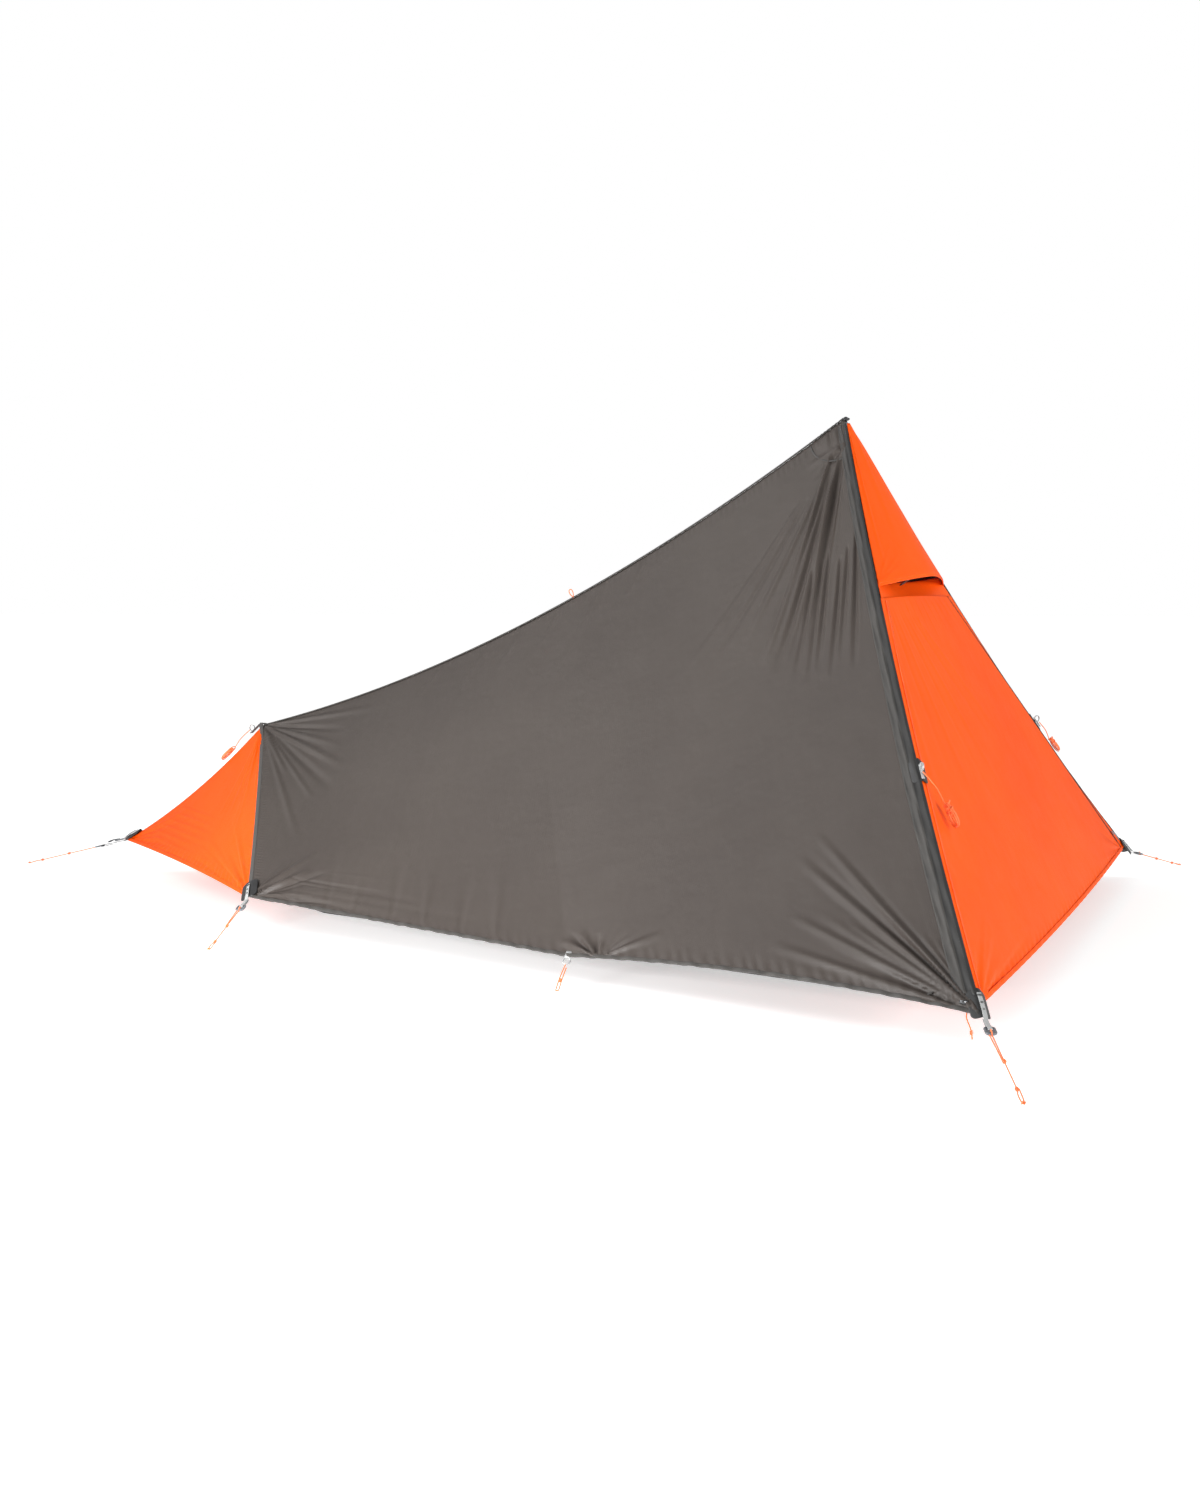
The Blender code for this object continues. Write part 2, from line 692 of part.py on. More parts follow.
def guy_cord(name, start, anchor, collection, materials):
    """A taut guy line that ends in an eye on the ground and comes back to its knot."""
    run = anchor - start
    along = run.normalized()
    across = along.cross(Vector((0, 0, 1))).normalized()
    knot = start + run * 0.80
    half_eye = 0.0075
    lift = Vector((0, 0, CORD * 0.4))
    route = [start, start + run * 0.25, start + run * 0.52, knot,
             start + run * 0.88 + across * half_eye + lift,
             start + run * 0.96 + across * half_eye * 0.9,
             anchor,
             start + run * 0.96 - across * half_eye * 0.9,
             start + run * 0.88 - across * half_eye + lift,
             knot - across * 0.0038]
    tube(name, smooth_route(route, 3 * CORD), CORD, materials["orange_cord"], collection)


def build_corner(label, corner, anchor, edge_dir, hem_dirs, collection, cutters, materials):
    """One staked corner: a patch, a reflective webbing strip, a line lock and its cord."""
    inside = Vector((0, 0, 0.3)) - corner
    normal = Vector()
    for hem_dir in hem_dirs:
        face_normal = edge_dir.cross(hem_dir).normalized()
        normal -= face_normal * (1.0 if face_normal.dot(inside) > 0 else -1.0)
    normal.normalize()
    centre = corner + edge_dir * (PATCH[1] / 2 + 0.004) + normal * (PATCH_LIFT + PATCH[2] / 2)
    patch_matrix = axes_matrix(centre, edge_dir.cross(normal), edge_dir, normal)
    outline_solid(label + "_patch", rounded_outline(PATCH[0], PATCH[1], 0.008), PATCH[2],
                  patch_matrix, materials["black_patch"], collection)

    across, outward, up = outward_frame(corner, anchor)
    start = 0.006
    strip_centre = corner + outward * (start + WEBBING[1] / 2)
    webbing_strip(label + "_webbing", axes_matrix(strip_centre, across, outward, up), WEBBING,
                  collection, materials)
    lock_start = start + WEBBING[1] + GAP
    lock_centre = corner + outward * (lock_start + LINE_LOCK[1] / 2)
    line_lock(label + "_line_lock", axes_matrix(lock_centre, across, outward, up), collection,
              cutters, materials)
    cord_start = corner + outward * (lock_start + LINE_LOCK[1] + GAP)
    guy_cord(label + "_guy_cord", cord_start, anchor, collection, materials)


def build_corners(collection, cutters, materials):
    for label, side in SIDES:
        corner = at(FRONT_CORNER, side)
        edge_dir = (front_edge(side)(0.95) - corner).normalized()
        hem_dirs = ((hem(side)(0.04) - corner).normalized(), Vector((0, -side, 0)))
        build_corner(label + "_front", corner, on_ground(FRONT_ANCHOR, side), edge_dir, hem_dirs,
                     collection, cutters, materials)
        corner = at(FOOT_CORNER, side)
        edge_dir = (foot_seam(side)(0.90) - corner).normalized()
        hem_dirs = ((hem(side)(0.95) - corner).normalized(),
                    (foot_hem(side)(0.90) - corner).normalized())
        build_corner(label + "_foot", corner, on_ground(FOOT_CORNER_ANCHOR, side), edge_dir,
                     hem_dirs, collection, cutters, materials)


def build_hem_loops(collection, materials):
    """A sewn ring at the middle of each long hem, with a doubled cord to the ground."""
    for label, side in SIDES:
        place = at(HEM_LOOP, side)
        anchor = on_ground(HEM_ANCHOR, side)
        across, outward, up = outward_frame(place, anchor)
        centre = place + outward * (RING_MAJOR + RING_MINOR + FABRIC)
        ring(label + "_hem_loop", axes_matrix(centre, across, outward, up),
             materials["silver_webbing"], collection)
        start = place + outward * (2 * RING_MAJOR + 2 * RING_MINOR + FABRIC + GAP)
        route = [start, start.lerp(anchor, 0.5) + across * 0.003, anchor + across * 0.003,
                 anchor + outward * 0.004, anchor - across * 0.003,
                 start.lerp(anchor, 0.5) - across * 0.003, start.lerp(anchor, 0.12) - across * 0.004]
        tube(label + "_hem_cord", smooth_route(route, 2.4 * CORD), CORD,
             materials["orange_cord"], collection)


def build_foot_tip(collection, cutters, materials):
    """The foot end: a patch, a strap with a sliding ladder lock, a line lock and a cord."""
    corner, anchor = at(FOOT_TIP), on_ground(TIP_ANCHOR)
    across, outward, up = outward_frame(corner, anchor)
    slope = (foot_ridge()(0.93) - corner).normalized()
    side_axis = Vector((0, 1, 0))
    above = slope.cross(side_axis).normalized()
    above = above if above.z > 0 else -above
    centre = corner + slope * 0.034 + above * 0.009
    matrix = axes_matrix(centre, side_axis, slope, side_axis.cross(slope))
    outline_solid("foot_tip_patch", rounded_outline(0.030, 0.056, 0.009), 0.0035, matrix,
                  materials["black_patch"], collection)
    strap = (0.018, 0.088, 0.0018)
    strap_centre = corner + outward * (0.008 + strap[1] / 2)
    webbing_strip("foot_tip_strap", axes_matrix(strap_centre, across, outward, up), strap,
                  collection, materials)
    ladder_centre = corner + outward * 0.030 + up * (strap[2] / 2 + GAP + LINE_LOCK[2] / 2)
    ladder = line_lock("foot_ladder_lock", axes_matrix(ladder_centre, across, outward, up),
                       collection, cutters, materials)
    slide = add_empty("foot_ladder_slide", collection, Matrix.Translation(ladder_centre))
    attach(ladder, slide)
    lock_centre = corner + outward * (0.008 + strap[1] + GAP + LINE_LOCK[1] / 2)
    line_lock("foot_tip_line_lock", axes_matrix(lock_centre, across, outward, up), collection,
              cutters, materials)
    cord_start = lock_centre + outward * (LINE_LOCK[1] / 2 + GAP)
    guy_cord("foot_tip_guy_cord", cord_start, anchor, collection, materials)


def hank_outline():
    width, length, _ = HANK
    return rounded_outline(width, length, width / 2 - 0.0005, steps=4)


def build_stored_guy(label, ring_matrix, route, hank_matrix, collection, materials):
    """A guy line that isn't in use: a sewn loop, the cord below it and its hank."""
    ring(label + "_tie_loop", ring_matrix, materials["silver_webbing"], collection)
    cord = tube(label + "_tie_cord", smooth_route(route, 2.4 * CORD), CORD,
                materials["orange_cord"], collection)
    hank = outline_solid(label + "_tie_hank", hank_outline(), HANK[2], hank_matrix,
                         materials["orange_cord"], collection)
    return cord, hank


def build_stored_guys(collection, door_hinge, materials):
    """The near cord and hank hang over the door and go with it; the far ones lie on the seam."""
    for label, side in SIDES:
        edge = front_edge(side)
        place = edge(TIE_OUT)
        down = (edge(TIE_OUT + 0.09) - place).normalized()
        outward = (side_normal(side, TIE_OUT) + door_normal()).normalized()
        outward = (outward - down * outward.dot(down)).normalized()
        centre = place + outward * (RING_MAJOR + RING_MINOR + 0.004)
        ring_matrix = axes_matrix(centre, down, outward, down.cross(outward))
        start = centre + down * (RING_MAJOR + RING_MINOR + TIE_GAP)
        lie, away = down, outward
        if side < 0:
            lie, away = Vector((0, 1, 0)).cross(door_normal()).normalized(), door_normal()
        hank_centre = place + lie * HANK_DROP + away * (HANK[2] / 2 + 0.008)
        hank_top = hank_centre - lie * (HANK[1] / 2 + GAP + CORD / 2)
        route = [start, start.lerp(hank_top, 0.5) + away * 0.002, hank_top]
        across = lie.cross(away).normalized()
        hank_matrix = axes_matrix(hank_centre, across, lie, across.cross(lie))
        pieces = build_stored_guy(label, ring_matrix, route, hank_matrix, collection, materials)
        if side < 0:
            for piece in pieces:
                attach(piece, door_hinge)
    build_foot_stored_guy(collection, materials)


def build_foot_stored_guy(collection, materials):
    line = foot_ridge()
    place = line(0.05)
    down = (line(0.35) - place).normalized()
    across = Vector((0, 1, 0))
    up = down.cross(across) if down.cross(across).z > 0 else across.cross(down)
    centre = place + up * (RING_MAJOR + RING_MINOR + 0.009)
    ring_matrix = axes_matrix(centre, down, up, down.cross(up))
    start = centre + down * (RING_MAJOR + RING_MINOR + GAP)
    hank_centre = line(0.225) + up * (HANK[2] / 2 + 0.012)
    hank_top = hank_centre - down * (HANK[1] / 2 + GAP + CORD / 2)
    route = [start, start.lerp(hank_top, 0.5) + up * 0.002, hank_top]
    hank_matrix = axes_matrix(hank_centre, across, down, across.cross(down))
    build_stored_guy("foot", ring_matrix, route, hank_matrix, collection, materials)


def build_hem_toggle(collection, materials):
    """The small toggle at the front end of the near hem, with the cord pull below it."""
    surface = side_surface(-1.0)
    place = surface(0.016, 0.988)
    back = (surface(0.036, 0.988) - place).normalized()
    outward = side_normal(-1.0, 0.97)
    outward = (outward - back * outward.dot(back)).normalized()
    centre = place + outward * 0.0062
    block("hem_toggle", (0.016, 0.009, 0.006), axes_matrix(centre, back, outward.cross(back), outward),
          materials["black_plastic"], collection, bevel=0.0015)
    start = surface(0.016, 1.0) + outward * 0.004 - Vector((0, 0, 0.003))
    end = start + Vector((0.012, -0.006, -0.046))
    route = [start, start + Vector((0, 0, -0.010)), end + Vector((-0.003, 0, 0.018)), end]
    tube("hem_pull_cord", smooth_route(route, 2.4 * CORD), CORD, materials["orange_cord"],
         collection)


def make_materials():
    recipes = {
        "grey_ripstop": (GREY, 0.45, 0.0), "orange_ripstop": (ORANGE, 0.5, 0.0),
        "charcoal_flap": (CHARCOAL, 0.5, 0.0), "charcoal_tape": (CHARCOAL, 0.7, 0.0),
        "vent_netting": (BLACK, 0.8, 0.0), "floor_fabric": (FLOOR_GREY, 0.5, 0.0),
        "black_patch": (BLACK, 0.6, 0.0), "silver_webbing": (SILVER, 0.35, 0.0),
        "black_plastic": (BLACK, 0.4, 0.0), "black_rubber": (BLACK, 0.8, 0.0),
        "brushed_metal": (SILVER, 0.3, 1.0), "anodised_aluminium": (SILVER, 0.35, 1.0),
        "orange_cord": (PALE_ORANGE, 0.75, 0.0)}
    return {name: new_material(name, *recipe) for name, recipe in recipes.items()}


def main():
    clear_scene()
    collection = new_collection(COLLECTION_NAME)
    cutters = new_collection(CUTTER_COLLECTION_NAME)
    materials = make_materials()
    build_side_panels(collection, materials)
    build_foot_panels(collection, materials)
    build_bindings(collection, materials)
    build_flaps(collection, materials)
    door_hinge = build_door(collection, materials)
    build_vent(collection, materials)
    build_zip(collection, materials)
    build_apex_cap(collection, materials)
    build_ridge_loop(collection, materials)
    build_poles(collection, materials)
    build_floor(collection, materials)
    build_corners(collection, cutters, materials)
    build_hem_loops(collection, materials)
    build_foot_tip(collection, cutters, materials)
    build_stored_guys(collection, door_hinge, materials)
    build_hem_toggle(collection, materials)


if __name__ == "__main__":
    main()
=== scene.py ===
"""A one-person pole tent, dressed as it stands: cloth, tapes, fittings and guy lines.

Every length is in metres in the part's own frame: +X towards the door, near side at -Y,
+Z up, with the origin on the ground in the middle of the tent.
"""
import math

import bpy
import numpy as np
from mathutils import Matrix, Vector


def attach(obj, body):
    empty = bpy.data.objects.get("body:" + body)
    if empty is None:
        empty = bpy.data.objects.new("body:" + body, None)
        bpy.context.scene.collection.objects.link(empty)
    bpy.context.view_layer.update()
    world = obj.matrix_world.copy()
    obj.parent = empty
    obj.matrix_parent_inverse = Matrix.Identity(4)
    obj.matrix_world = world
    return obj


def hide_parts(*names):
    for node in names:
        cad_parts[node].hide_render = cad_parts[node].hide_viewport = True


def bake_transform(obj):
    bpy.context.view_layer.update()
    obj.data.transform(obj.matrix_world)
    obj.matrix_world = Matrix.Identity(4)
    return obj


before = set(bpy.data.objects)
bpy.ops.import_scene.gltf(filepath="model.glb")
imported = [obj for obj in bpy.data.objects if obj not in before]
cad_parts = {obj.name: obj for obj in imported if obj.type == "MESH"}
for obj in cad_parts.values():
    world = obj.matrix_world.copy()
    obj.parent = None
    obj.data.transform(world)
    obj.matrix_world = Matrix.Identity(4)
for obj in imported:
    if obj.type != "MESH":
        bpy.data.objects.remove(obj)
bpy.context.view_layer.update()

bl_info = {
    "name": "Pole tent",
    "version": (1, 0, 0),
    "blender": (4, 5, 0),
    "location": "3D View > Sidebar > Tent",
    "description": "Builds the cloth, tapes, fittings, cords and studio of a one-person pole tent",
    "category": "Object",
}

# Canopy points, measured from the front pole's foot
FRONT_POLE_X = 0.87406
APEX_HEIGHT = 1.250
FOOT_APEX = (-1.722, 0.0, 0.455)
FRONT_CORNER = (0.558, 1.013, 0.075)
FOOT_CORNER = (-1.357, 0.578, 0.081)
FOOT_TIP = (-2.223, 0.0, 0.096)
HEM_LOOP = (-0.380, 0.781, 0.055)
RIDGE_SAG = 0.097
FOOT_SAG = 0.025
FRONT_EDGE_SAG = (-0.011, 0.005, -0.030)
HEM_LIFT = 0.016
FRONT_ANCHOR = (0.677, 1.266)
FOOT_CORNER_ANCHOR = (-1.301, 0.813)
HEM_ANCHOR = (-0.367, 0.862)
TIP_ANCHOR = (-2.609, 0.0)

# Door, vent and flap, as fractions of the front edge from apex to corner
HOOD_TOP = 0.050
BROW = 0.320
DOOR_TOP = 0.350
DOOR_BOTTOM = 0.960
BROW_LIFT = (0.050, 0.0, 0.024)
HINGE_OFFSET = 0.005
BAND_WIDTH = 0.045
FLAP_SPAN = (0.012, 0.975)
FLAP_WIDTHS = (0.022, 0.044)
CLOTH_BOTTOM = 0.985
TIE_OUT = 0.640
HANK_DROP = 0.105
RIDGE_LOOP_AT = 0.425

# Small parts
CLOTH = 0.0006
CORD = 0.0025
GROUND_CLEARANCE = 0.0006
GAP = 0.0005
RING_MAJOR = 0.0085
RING_MINOR = 0.0016
LOCK_START = 0.006 + 0.034
TIP_STRAP = 0.008 + 0.088
LINE_LOCK = (0.022, 0.027, 0.0070)
HANK = (0.026, 0.056, 0.012)
PATCH_LENGTH = 0.058
DOOR_STITCH = (0.0052, 0.0026, 0.0007)
FLAP_STITCH = (0.0056, 0.0030, 0.0006)
POLE_RADIUS = 0.0062
POLE_BASE = 0.0025
FLOOR_FRONT = (0.320, 0.640)
FLOOR_BACK = (-1.300, 0.345)
FLOOR_TIP = -1.900
FLOOR_WALL = 0.048

SIDES = (("near", -1.0), ("far", 1.0))
X, Y, Z = np.eye(3)


# ---------------------------------------------------------------- canopy lines

def vec(*values):
    return np.array(values, float)


def unit(v):
    v = np.asarray(v, float)
    return v / np.maximum(np.linalg.norm(v, axis=-1, keepdims=True), 1e-12)


def at(point, side=1.0):
    return vec(FRONT_POLE_X + point[0], side * point[1], point[2])


def on_ground(point, side=1.0):
    return vec(FRONT_POLE_X + point[0], side * point[1], CORD / 2 + GROUND_CLEARANCE)


def sagging(start, end, sag=(0, 0, 0)):
    """A taut seam: a parabola through both ends that hangs by sag in the middle."""
    start, end, sag = (np.asarray(v, float) for v in (start, end, sag))

    def place(t):
        t = np.asarray(t, float)[..., None]
        return start + (end - start) * t + 4 * t * (1 - t) * sag
    return place


def part_of(curve, first, last):
    return lambda t: curve(first + (last - first) * np.asarray(t, float))


def moved(curve, shift):
    return lambda t: curve(t) + np.asarray(shift, float)


def ridge():
    return sagging(at((0, 0, APEX_HEIGHT)), at(FOOT_APEX), (0, 0, -RIDGE_SAG))


def foot_ridge():
    return sagging(at(FOOT_APEX), at(FOOT_TIP), (0, 0, -FOOT_SAG))


def front_edge(side):
    sag_x, sag_y, sag_z = FRONT_EDGE_SAG
    return sagging(at((0, 0, APEX_HEIGHT)), at(FRONT_CORNER, side), (sag_x, -side * sag_y, sag_z))


def foot_seam(side):
    return sagging(at(FOOT_APEX), at(FOOT_CORNER, side), (0.005, 0, 0))


def hem(side):
    """The long hem, from the front corner past the hem loop to the foot corner."""
    corner, loop, foot = at(FRONT_CORNER, side), at(HEM_LOOP, side), at(FOOT_CORNER, side)
    first, second = np.linalg.norm(corner - loop), np.linalg.norm(loop - foot)
    split = first / (first + second)
    front_part = sagging(corner, loop, (0, -side * 0.012, HEM_LIFT))
    foot_part = sagging(loop, foot, (0, -side * 0.003, -0.001))

    def place(t):
        t = np.asarray(t, float)
        before = (t < split)[..., None]
        return np.where(before, front_part(t / split), foot_part((t - split) / (1 - split)))
    return place


def foot_hem(side):
    return sagging(at(FOOT_TIP), at(FOOT_CORNER, side), (0.010, -side * 0.006, 0.003))


def door_line(side, width):
    """A straight line down the front, that far inside the edge."""
    edge = front_edge(side)
    shift = vec(0, side * width, 0)
    return sagging(edge(DOOR_TOP) - shift, edge(DOOR_BOTTOM) - shift)


def hinge_line():
    return door_line(-1.0, HINGE_OFFSET)


def zip_line():
    return door_line(1.0, BAND_WIDTH)


def door_normal():
    down = hinge_line()(1.0) - hinge_line()(0.0)
    return unit(np.cross(down, zip_line()(1.0) - hinge_line()(1.0)))


def coons(top, bottom, left, right):
    """A taut surface between four seams: u runs from left to right and v from top to bottom."""
    corners = top(0.0), top(1.0), bottom(0.0), bottom(1.0)

    def place(u, v):
        u, v = np.broadcast_arrays(np.asarray(u, float), np.asarray(v, float))
        a, b = u[..., None], v[..., None]
        flat = (corners[0] * (1 - a) * (1 - b) + corners[1] * a * (1 - b)
                + corners[2] * (1 - a) * b + corners[3] * a * b)
        return top(u) * (1 - b) + bottom(u) * b + left(v) * (1 - a) + right(v) * a - flat
    return place


def above(along):
    """The upward normal of a line in the tent's middle plane."""
    normal = np.cross(along, Y)
    return normal * np.sign(normal[2])


def side_surface(side):
    return coons(ridge(), hem(side), front_edge(side), foot_seam(side))


def side_normal(side, t):
    """Outward normal of the side panel beside its front edge."""
    edge = front_edge(side)
    down = unit(edge(t + 0.02) - edge(t))
    back = unit(side_surface(side)(0.02, t) - edge(t))
    normal = unit(np.cross(down, back))
    return normal * (1.0 if normal[1] * side > 0 else -1.0)


# ---------------------------------------------------------------- mesh tools

def grid_faces(rows, columns, wrap=False):
    """Quads between rows x columns points; wrap joins the last column to the first."""
    r = np.arange(rows - 1)[:, None]
    c = np.arange(columns if wrap else columns - 1)[None, :]
    following = (c + 1) % columns
    quads = np.stack(np.broadcast_arrays(r * columns + c, r * columns + following,
                                         (r + 1) * columns + following, (r + 1) * columns + c), -1)
    return quads.reshape(-1, 4)


def piece(name, parts, finish, body="canopy", replaces=(), slot=None):
    """One mesh object from (points, faces, material number) parts, riding on a body.

    A finish is a material and the name of its slot; a list of them is numbered from 0.
    """
    if isinstance(parts, tuple):
        parts = [parts]
    points, faces, numbers, start = [], [], [], 0
    for places, quads, *number in parts:
        points.append(np.asarray(places, float).reshape(-1, 3))
        faces += [[int(i) + start for i in face] for face in quads]
        numbers += (number or [0]) * len(quads)
        start += len(points[-1])
    mesh = bpy.data.meshes.new(name)
    mesh.from_pydata(np.concatenate(points).tolist(), [], faces)
    mesh.polygons.foreach_set("material_index", numbers)
    mesh.polygons.foreach_set("use_smooth", [True] * len(faces))
    finish = finish if isinstance(finish, list) else [finish]
    for material, _ in finish:
        mesh.materials.append(material)
    mesh.update()
    made = bpy.data.objects.new(name, mesh)
    bpy.context.scene.collection.objects.link(made)
    if body:
        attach(made, body)
    if replaces:
        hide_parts(*([replaces] if isinstance(replaces, str) else replaces))
    slot = slot or finish[0][1]
    return made


def thicken(made, thickness):
    """A real cloth thickness with closed edges, half on each side."""
    solidify = made.modifiers.new("cloth", "SOLIDIFY")
    solidify.thickness, solidify.offset = thickness, 0.0
    return made


def map_cloth(made, flat):
    """A UV map in metres, from each vertex's place on the flat cloth."""
    loops = np.empty(len(made.data.loops), int)
    made.data.loops.foreach_get("vertex_index", loops)
    layer = made.data.uv_layers.new(name="cloth")
    layer.data.foreach_set("uv", flat[loops].astype(np.float32).ravel())


def flat_map(made, points, rows, columns):
    """A UV map walked out across the cloth, so that weaves keep their real size."""
    grid = points.reshape(rows, columns, 3)
    across = np.linalg.norm(np.diff(grid, axis=1), axis=2).cumsum(axis=1)
    across = np.concatenate([np.zeros((rows, 1)), across], axis=1)
    down = np.linalg.norm(np.diff(grid, axis=0), axis=2).cumsum(axis=0)
    down = np.concatenate([np.zeros((1, columns)), down], axis=0)
    map_cloth(made, np.stack([across, down], -1).reshape(-1, 2))


def flat_strip_map(made):
    """The same for a narrow strip, from its longest directions."""
    places = np.array([vertex.co[:] for vertex in made.data.vertices])
    map_cloth(made, np.stack([places[:, 0] + places[:, 1], places[:, 2]], -1))


def cloth(name, surface, rows, columns, outward, finish, displace, spans, crowd=1.0,
          body="canopy", replaces=(), thickness=CLOTH):
    """A cloth panel: a fine grid on a surface, moved along its normal by displace(u, v, points)."""
    (u0, u1), (v0, v1) = spans
    along = np.linspace(0, 1, columns) ** crowd
    u, v = np.meshgrid(u0 + (u1 - u0) * along, np.linspace(v0, v1, rows))
    points = surface(u, v)
    normals = unit(np.cross(np.gradient(points, axis=1), np.gradient(points, axis=0)))
    facing = np.sign((normals * np.asarray(outward, float)).sum(-1).mean())
    normals *= facing
    if displace:
        points = points + normals * displace(u, v, points)[..., None]
    faces = grid_faces(rows, columns)
    if facing < 0:
        faces = faces[:, ::-1]
    made = piece(name, (points, faces), finish, body, replaces)
    flat_map(made, points, rows, columns)
    return thicken(made, thickness)


def creases(surface, points, specs):
    """The height of folds in cloth, each (start uv, end uv, start width, end width, depth)."""
    height = np.zeros(points.shape[:-1])
    for (start, end, narrow, wide, depth) in specs:
        p, q = surface(*start), surface(*end)
        run = q - p
        s = np.clip(((points - p) @ run) / (run @ run), 0, 1)
        away = np.linalg.norm(points - p - s[..., None] * run, axis=-1)
        x = away / (narrow + (wide - narrow) * s)
        fade = np.sin(math.pi * s ** 0.55)
        height += depth * fade * np.exp(-x * x) * np.cos(1.7 * x)
    return height


def fan(rng, centre, first, last, count, reach, width, depth):
    """Folds that spread from a point under tension towards the line from first to last."""
    specs = []
    for number in range(count):
        share = (number + 0.5 + rng.uniform(-0.35, 0.35)) / count
        goal = np.asarray(first) + (np.asarray(last) - np.asarray(first)) * share
        length = rng.uniform(*reach)
        end = np.asarray(centre) + (goal - np.asarray(centre)) * length
        wide = width * rng.uniform(0.7, 1.4)
        specs.append((centre, tuple(end), 0.25 * wide, wide * 1.5,
                      depth * rng.uniform(0.5, 1.2) * (1 if rng.uniform() < 0.7 else -1)))
    return specs


def inside(u, v, width, height, margin):
    """0 at the sewn edges of a panel and 1 beyond a margin from them, all in metres."""
    edge = np.minimum(np.minimum(u, 1 - u) * width, np.minimum(v, 1 - v) * height)
    return np.clip(edge / margin, 0, 1)


def ripples(distance, along, pitch, depth, reach, rng):
    """Small gathers beside a sewn line, that die out with distance from it."""
    phase = rng.uniform(0, 6.3)
    wander = 0.8 * np.sin(along / pitch * 0.9 + phase) + 0.5 * np.sin(along / pitch * 2.3)
    return depth * np.exp(-(distance / reach) ** 2) * np.sin(2 * math.pi * along / pitch + wander)


def tangents(path, closed):
    if closed:
        return unit(np.roll(path, -1, 0) - np.roll(path, 1, 0))
    return unit(np.gradient(path, axis=0))


def sweep(path, across, profile, closed=False):
    """A profile of (across, up) points carried along a path, with closed ends."""
    path = np.asarray(path, float)
    tangent = tangents(path, closed)
    across = np.broadcast_to(np.asarray(across, float), path.shape)
    side = unit(across - (across * tangent).sum(-1, keepdims=True) * tangent)
    up = np.cross(side, tangent)
    profile = np.asarray(profile, float)
    if profile.ndim == 2:
        profile = np.broadcast_to(profile, (len(path), *profile.shape))
    points = (path[:, None] + profile[..., :1] * side[:, None] + profile[..., 1:] * up[:, None])
    count = profile.shape[1]
    if closed:
        points = np.concatenate([points, points[:1]])
        faces = [list(face) for face in grid_faces(len(path) + 1, count, True)[:, ::-1]]
        size = len(path) * count
        return points[:-1].reshape(-1, 3), [[i % size for i in face] for face in faces]
    faces = [list(face) for face in grid_faces(len(path), count, True)[:, ::-1]]
    last = (len(path) - 1) * count
    faces += [list(range(count)), [last + i for i in range(count)][::-1]]
    return points.reshape(-1, 3), faces


def strand(path, radius, sides=10, closed=False):
    """A round strand along a path, by a frame that doesn't twist."""
    path = np.asarray(path, float)
    tangent = tangents(path, closed)
    side = np.cross(tangent[0], Z if abs(tangent[0][2]) < 0.9 else X)
    sides_along = []
    for t in tangent:
        side = unit(side - (side @ t) * t)
        sides_along.append(side)
    turn = np.linspace(0, 2 * math.pi, sides, endpoint=False)
    radius = np.broadcast_to(np.asarray(radius, float), (len(path),))[:, None]
    profile = np.stack([np.cos(turn) * radius, np.sin(turn) * radius], -1)
    return sweep(path, np.array(sides_along), profile, closed)


def bar(width, height, rounding=0.3, steps=3):
    """The outline of a flat bar with round edges, as (across, up) points."""
    radius = min(width, height) * rounding
    outline = []
    for quarter, (sx, sy) in enumerate(((1, 1), (-1, 1), (-1, -1), (1, -1))):
        for step in range(steps + 1):
            angle = math.pi / 2 * (quarter + step / steps)
            outline.append((sx * (width / 2 - radius) + radius * math.cos(angle),
                            sy * (height / 2 - radius) + radius * math.sin(angle)))
    return np.array(outline)


def walked_along(path):
    """How far along the path each of its points is."""
    return np.concatenate([[0], np.linalg.norm(np.diff(path, axis=0), axis=1).cumsum()])


def route(points, spacing, floor=True):
    """Points at an even spacing along a smooth curve through the given points."""
    points = [np.asarray(p, float) for p in points]
    padded = [2 * points[0] - points[1], *points, 2 * points[-1] - points[-2]]
    t = np.arange(16)[:, None] / 16
    dense = [0.5 * (2 * p1 + (p2 - p0) * t + (2 * p0 - 5 * p1 + 4 * p2 - p3) * t ** 2
                    + (3 * p1 - p0 - 3 * p2 + p3) * t ** 3)
             for p0, p1, p2, p3 in zip(padded, padded[1:], padded[2:], padded[3:])]
    dense = np.concatenate([*dense, points[-1][None]])
    walked = walked_along(dense)
    even = np.linspace(0, walked[-1], max(3, round(walked[-1] / spacing) + 1))
    made = np.stack([np.interp(even, walked, dense[:, i]) for i in range(3)], -1)
    if floor:
        made[:, 2] = np.maximum(made[:, 2], CORD / 2 + GROUND_CLEARANCE)
    return made


def lathe(axis_x, profile):
    """A turned shape about a vertical axis, from (radius, height) points."""
    steps = 40
    turn = np.linspace(0, 2 * math.pi, steps, endpoint=False)
    rings = np.array([[(axis_x + r * math.cos(a), r * math.sin(a), h) for a in turn]
                      for r, h in profile])
    return rings.reshape(-1, 3), grid_faces(len(profile), steps, True)


def stitches(path, across, pitch, length, size):
    """A row of short raised stitches on a path."""
    walked = walked_along(path)
    shape = bar(size, size * 0.8, 0.45, 1)
    rows = []
    for start in np.arange(pitch / 2, walked[-1] - pitch, pitch):
        places = start + vec(0, length / 2, length)
        ends = np.stack([np.interp(places, walked, path[:, i]) for i in range(3)], -1)
        rows.append(sweep(ends, across, shape))
    return rows


# ---------------------------------------------------------------- materials

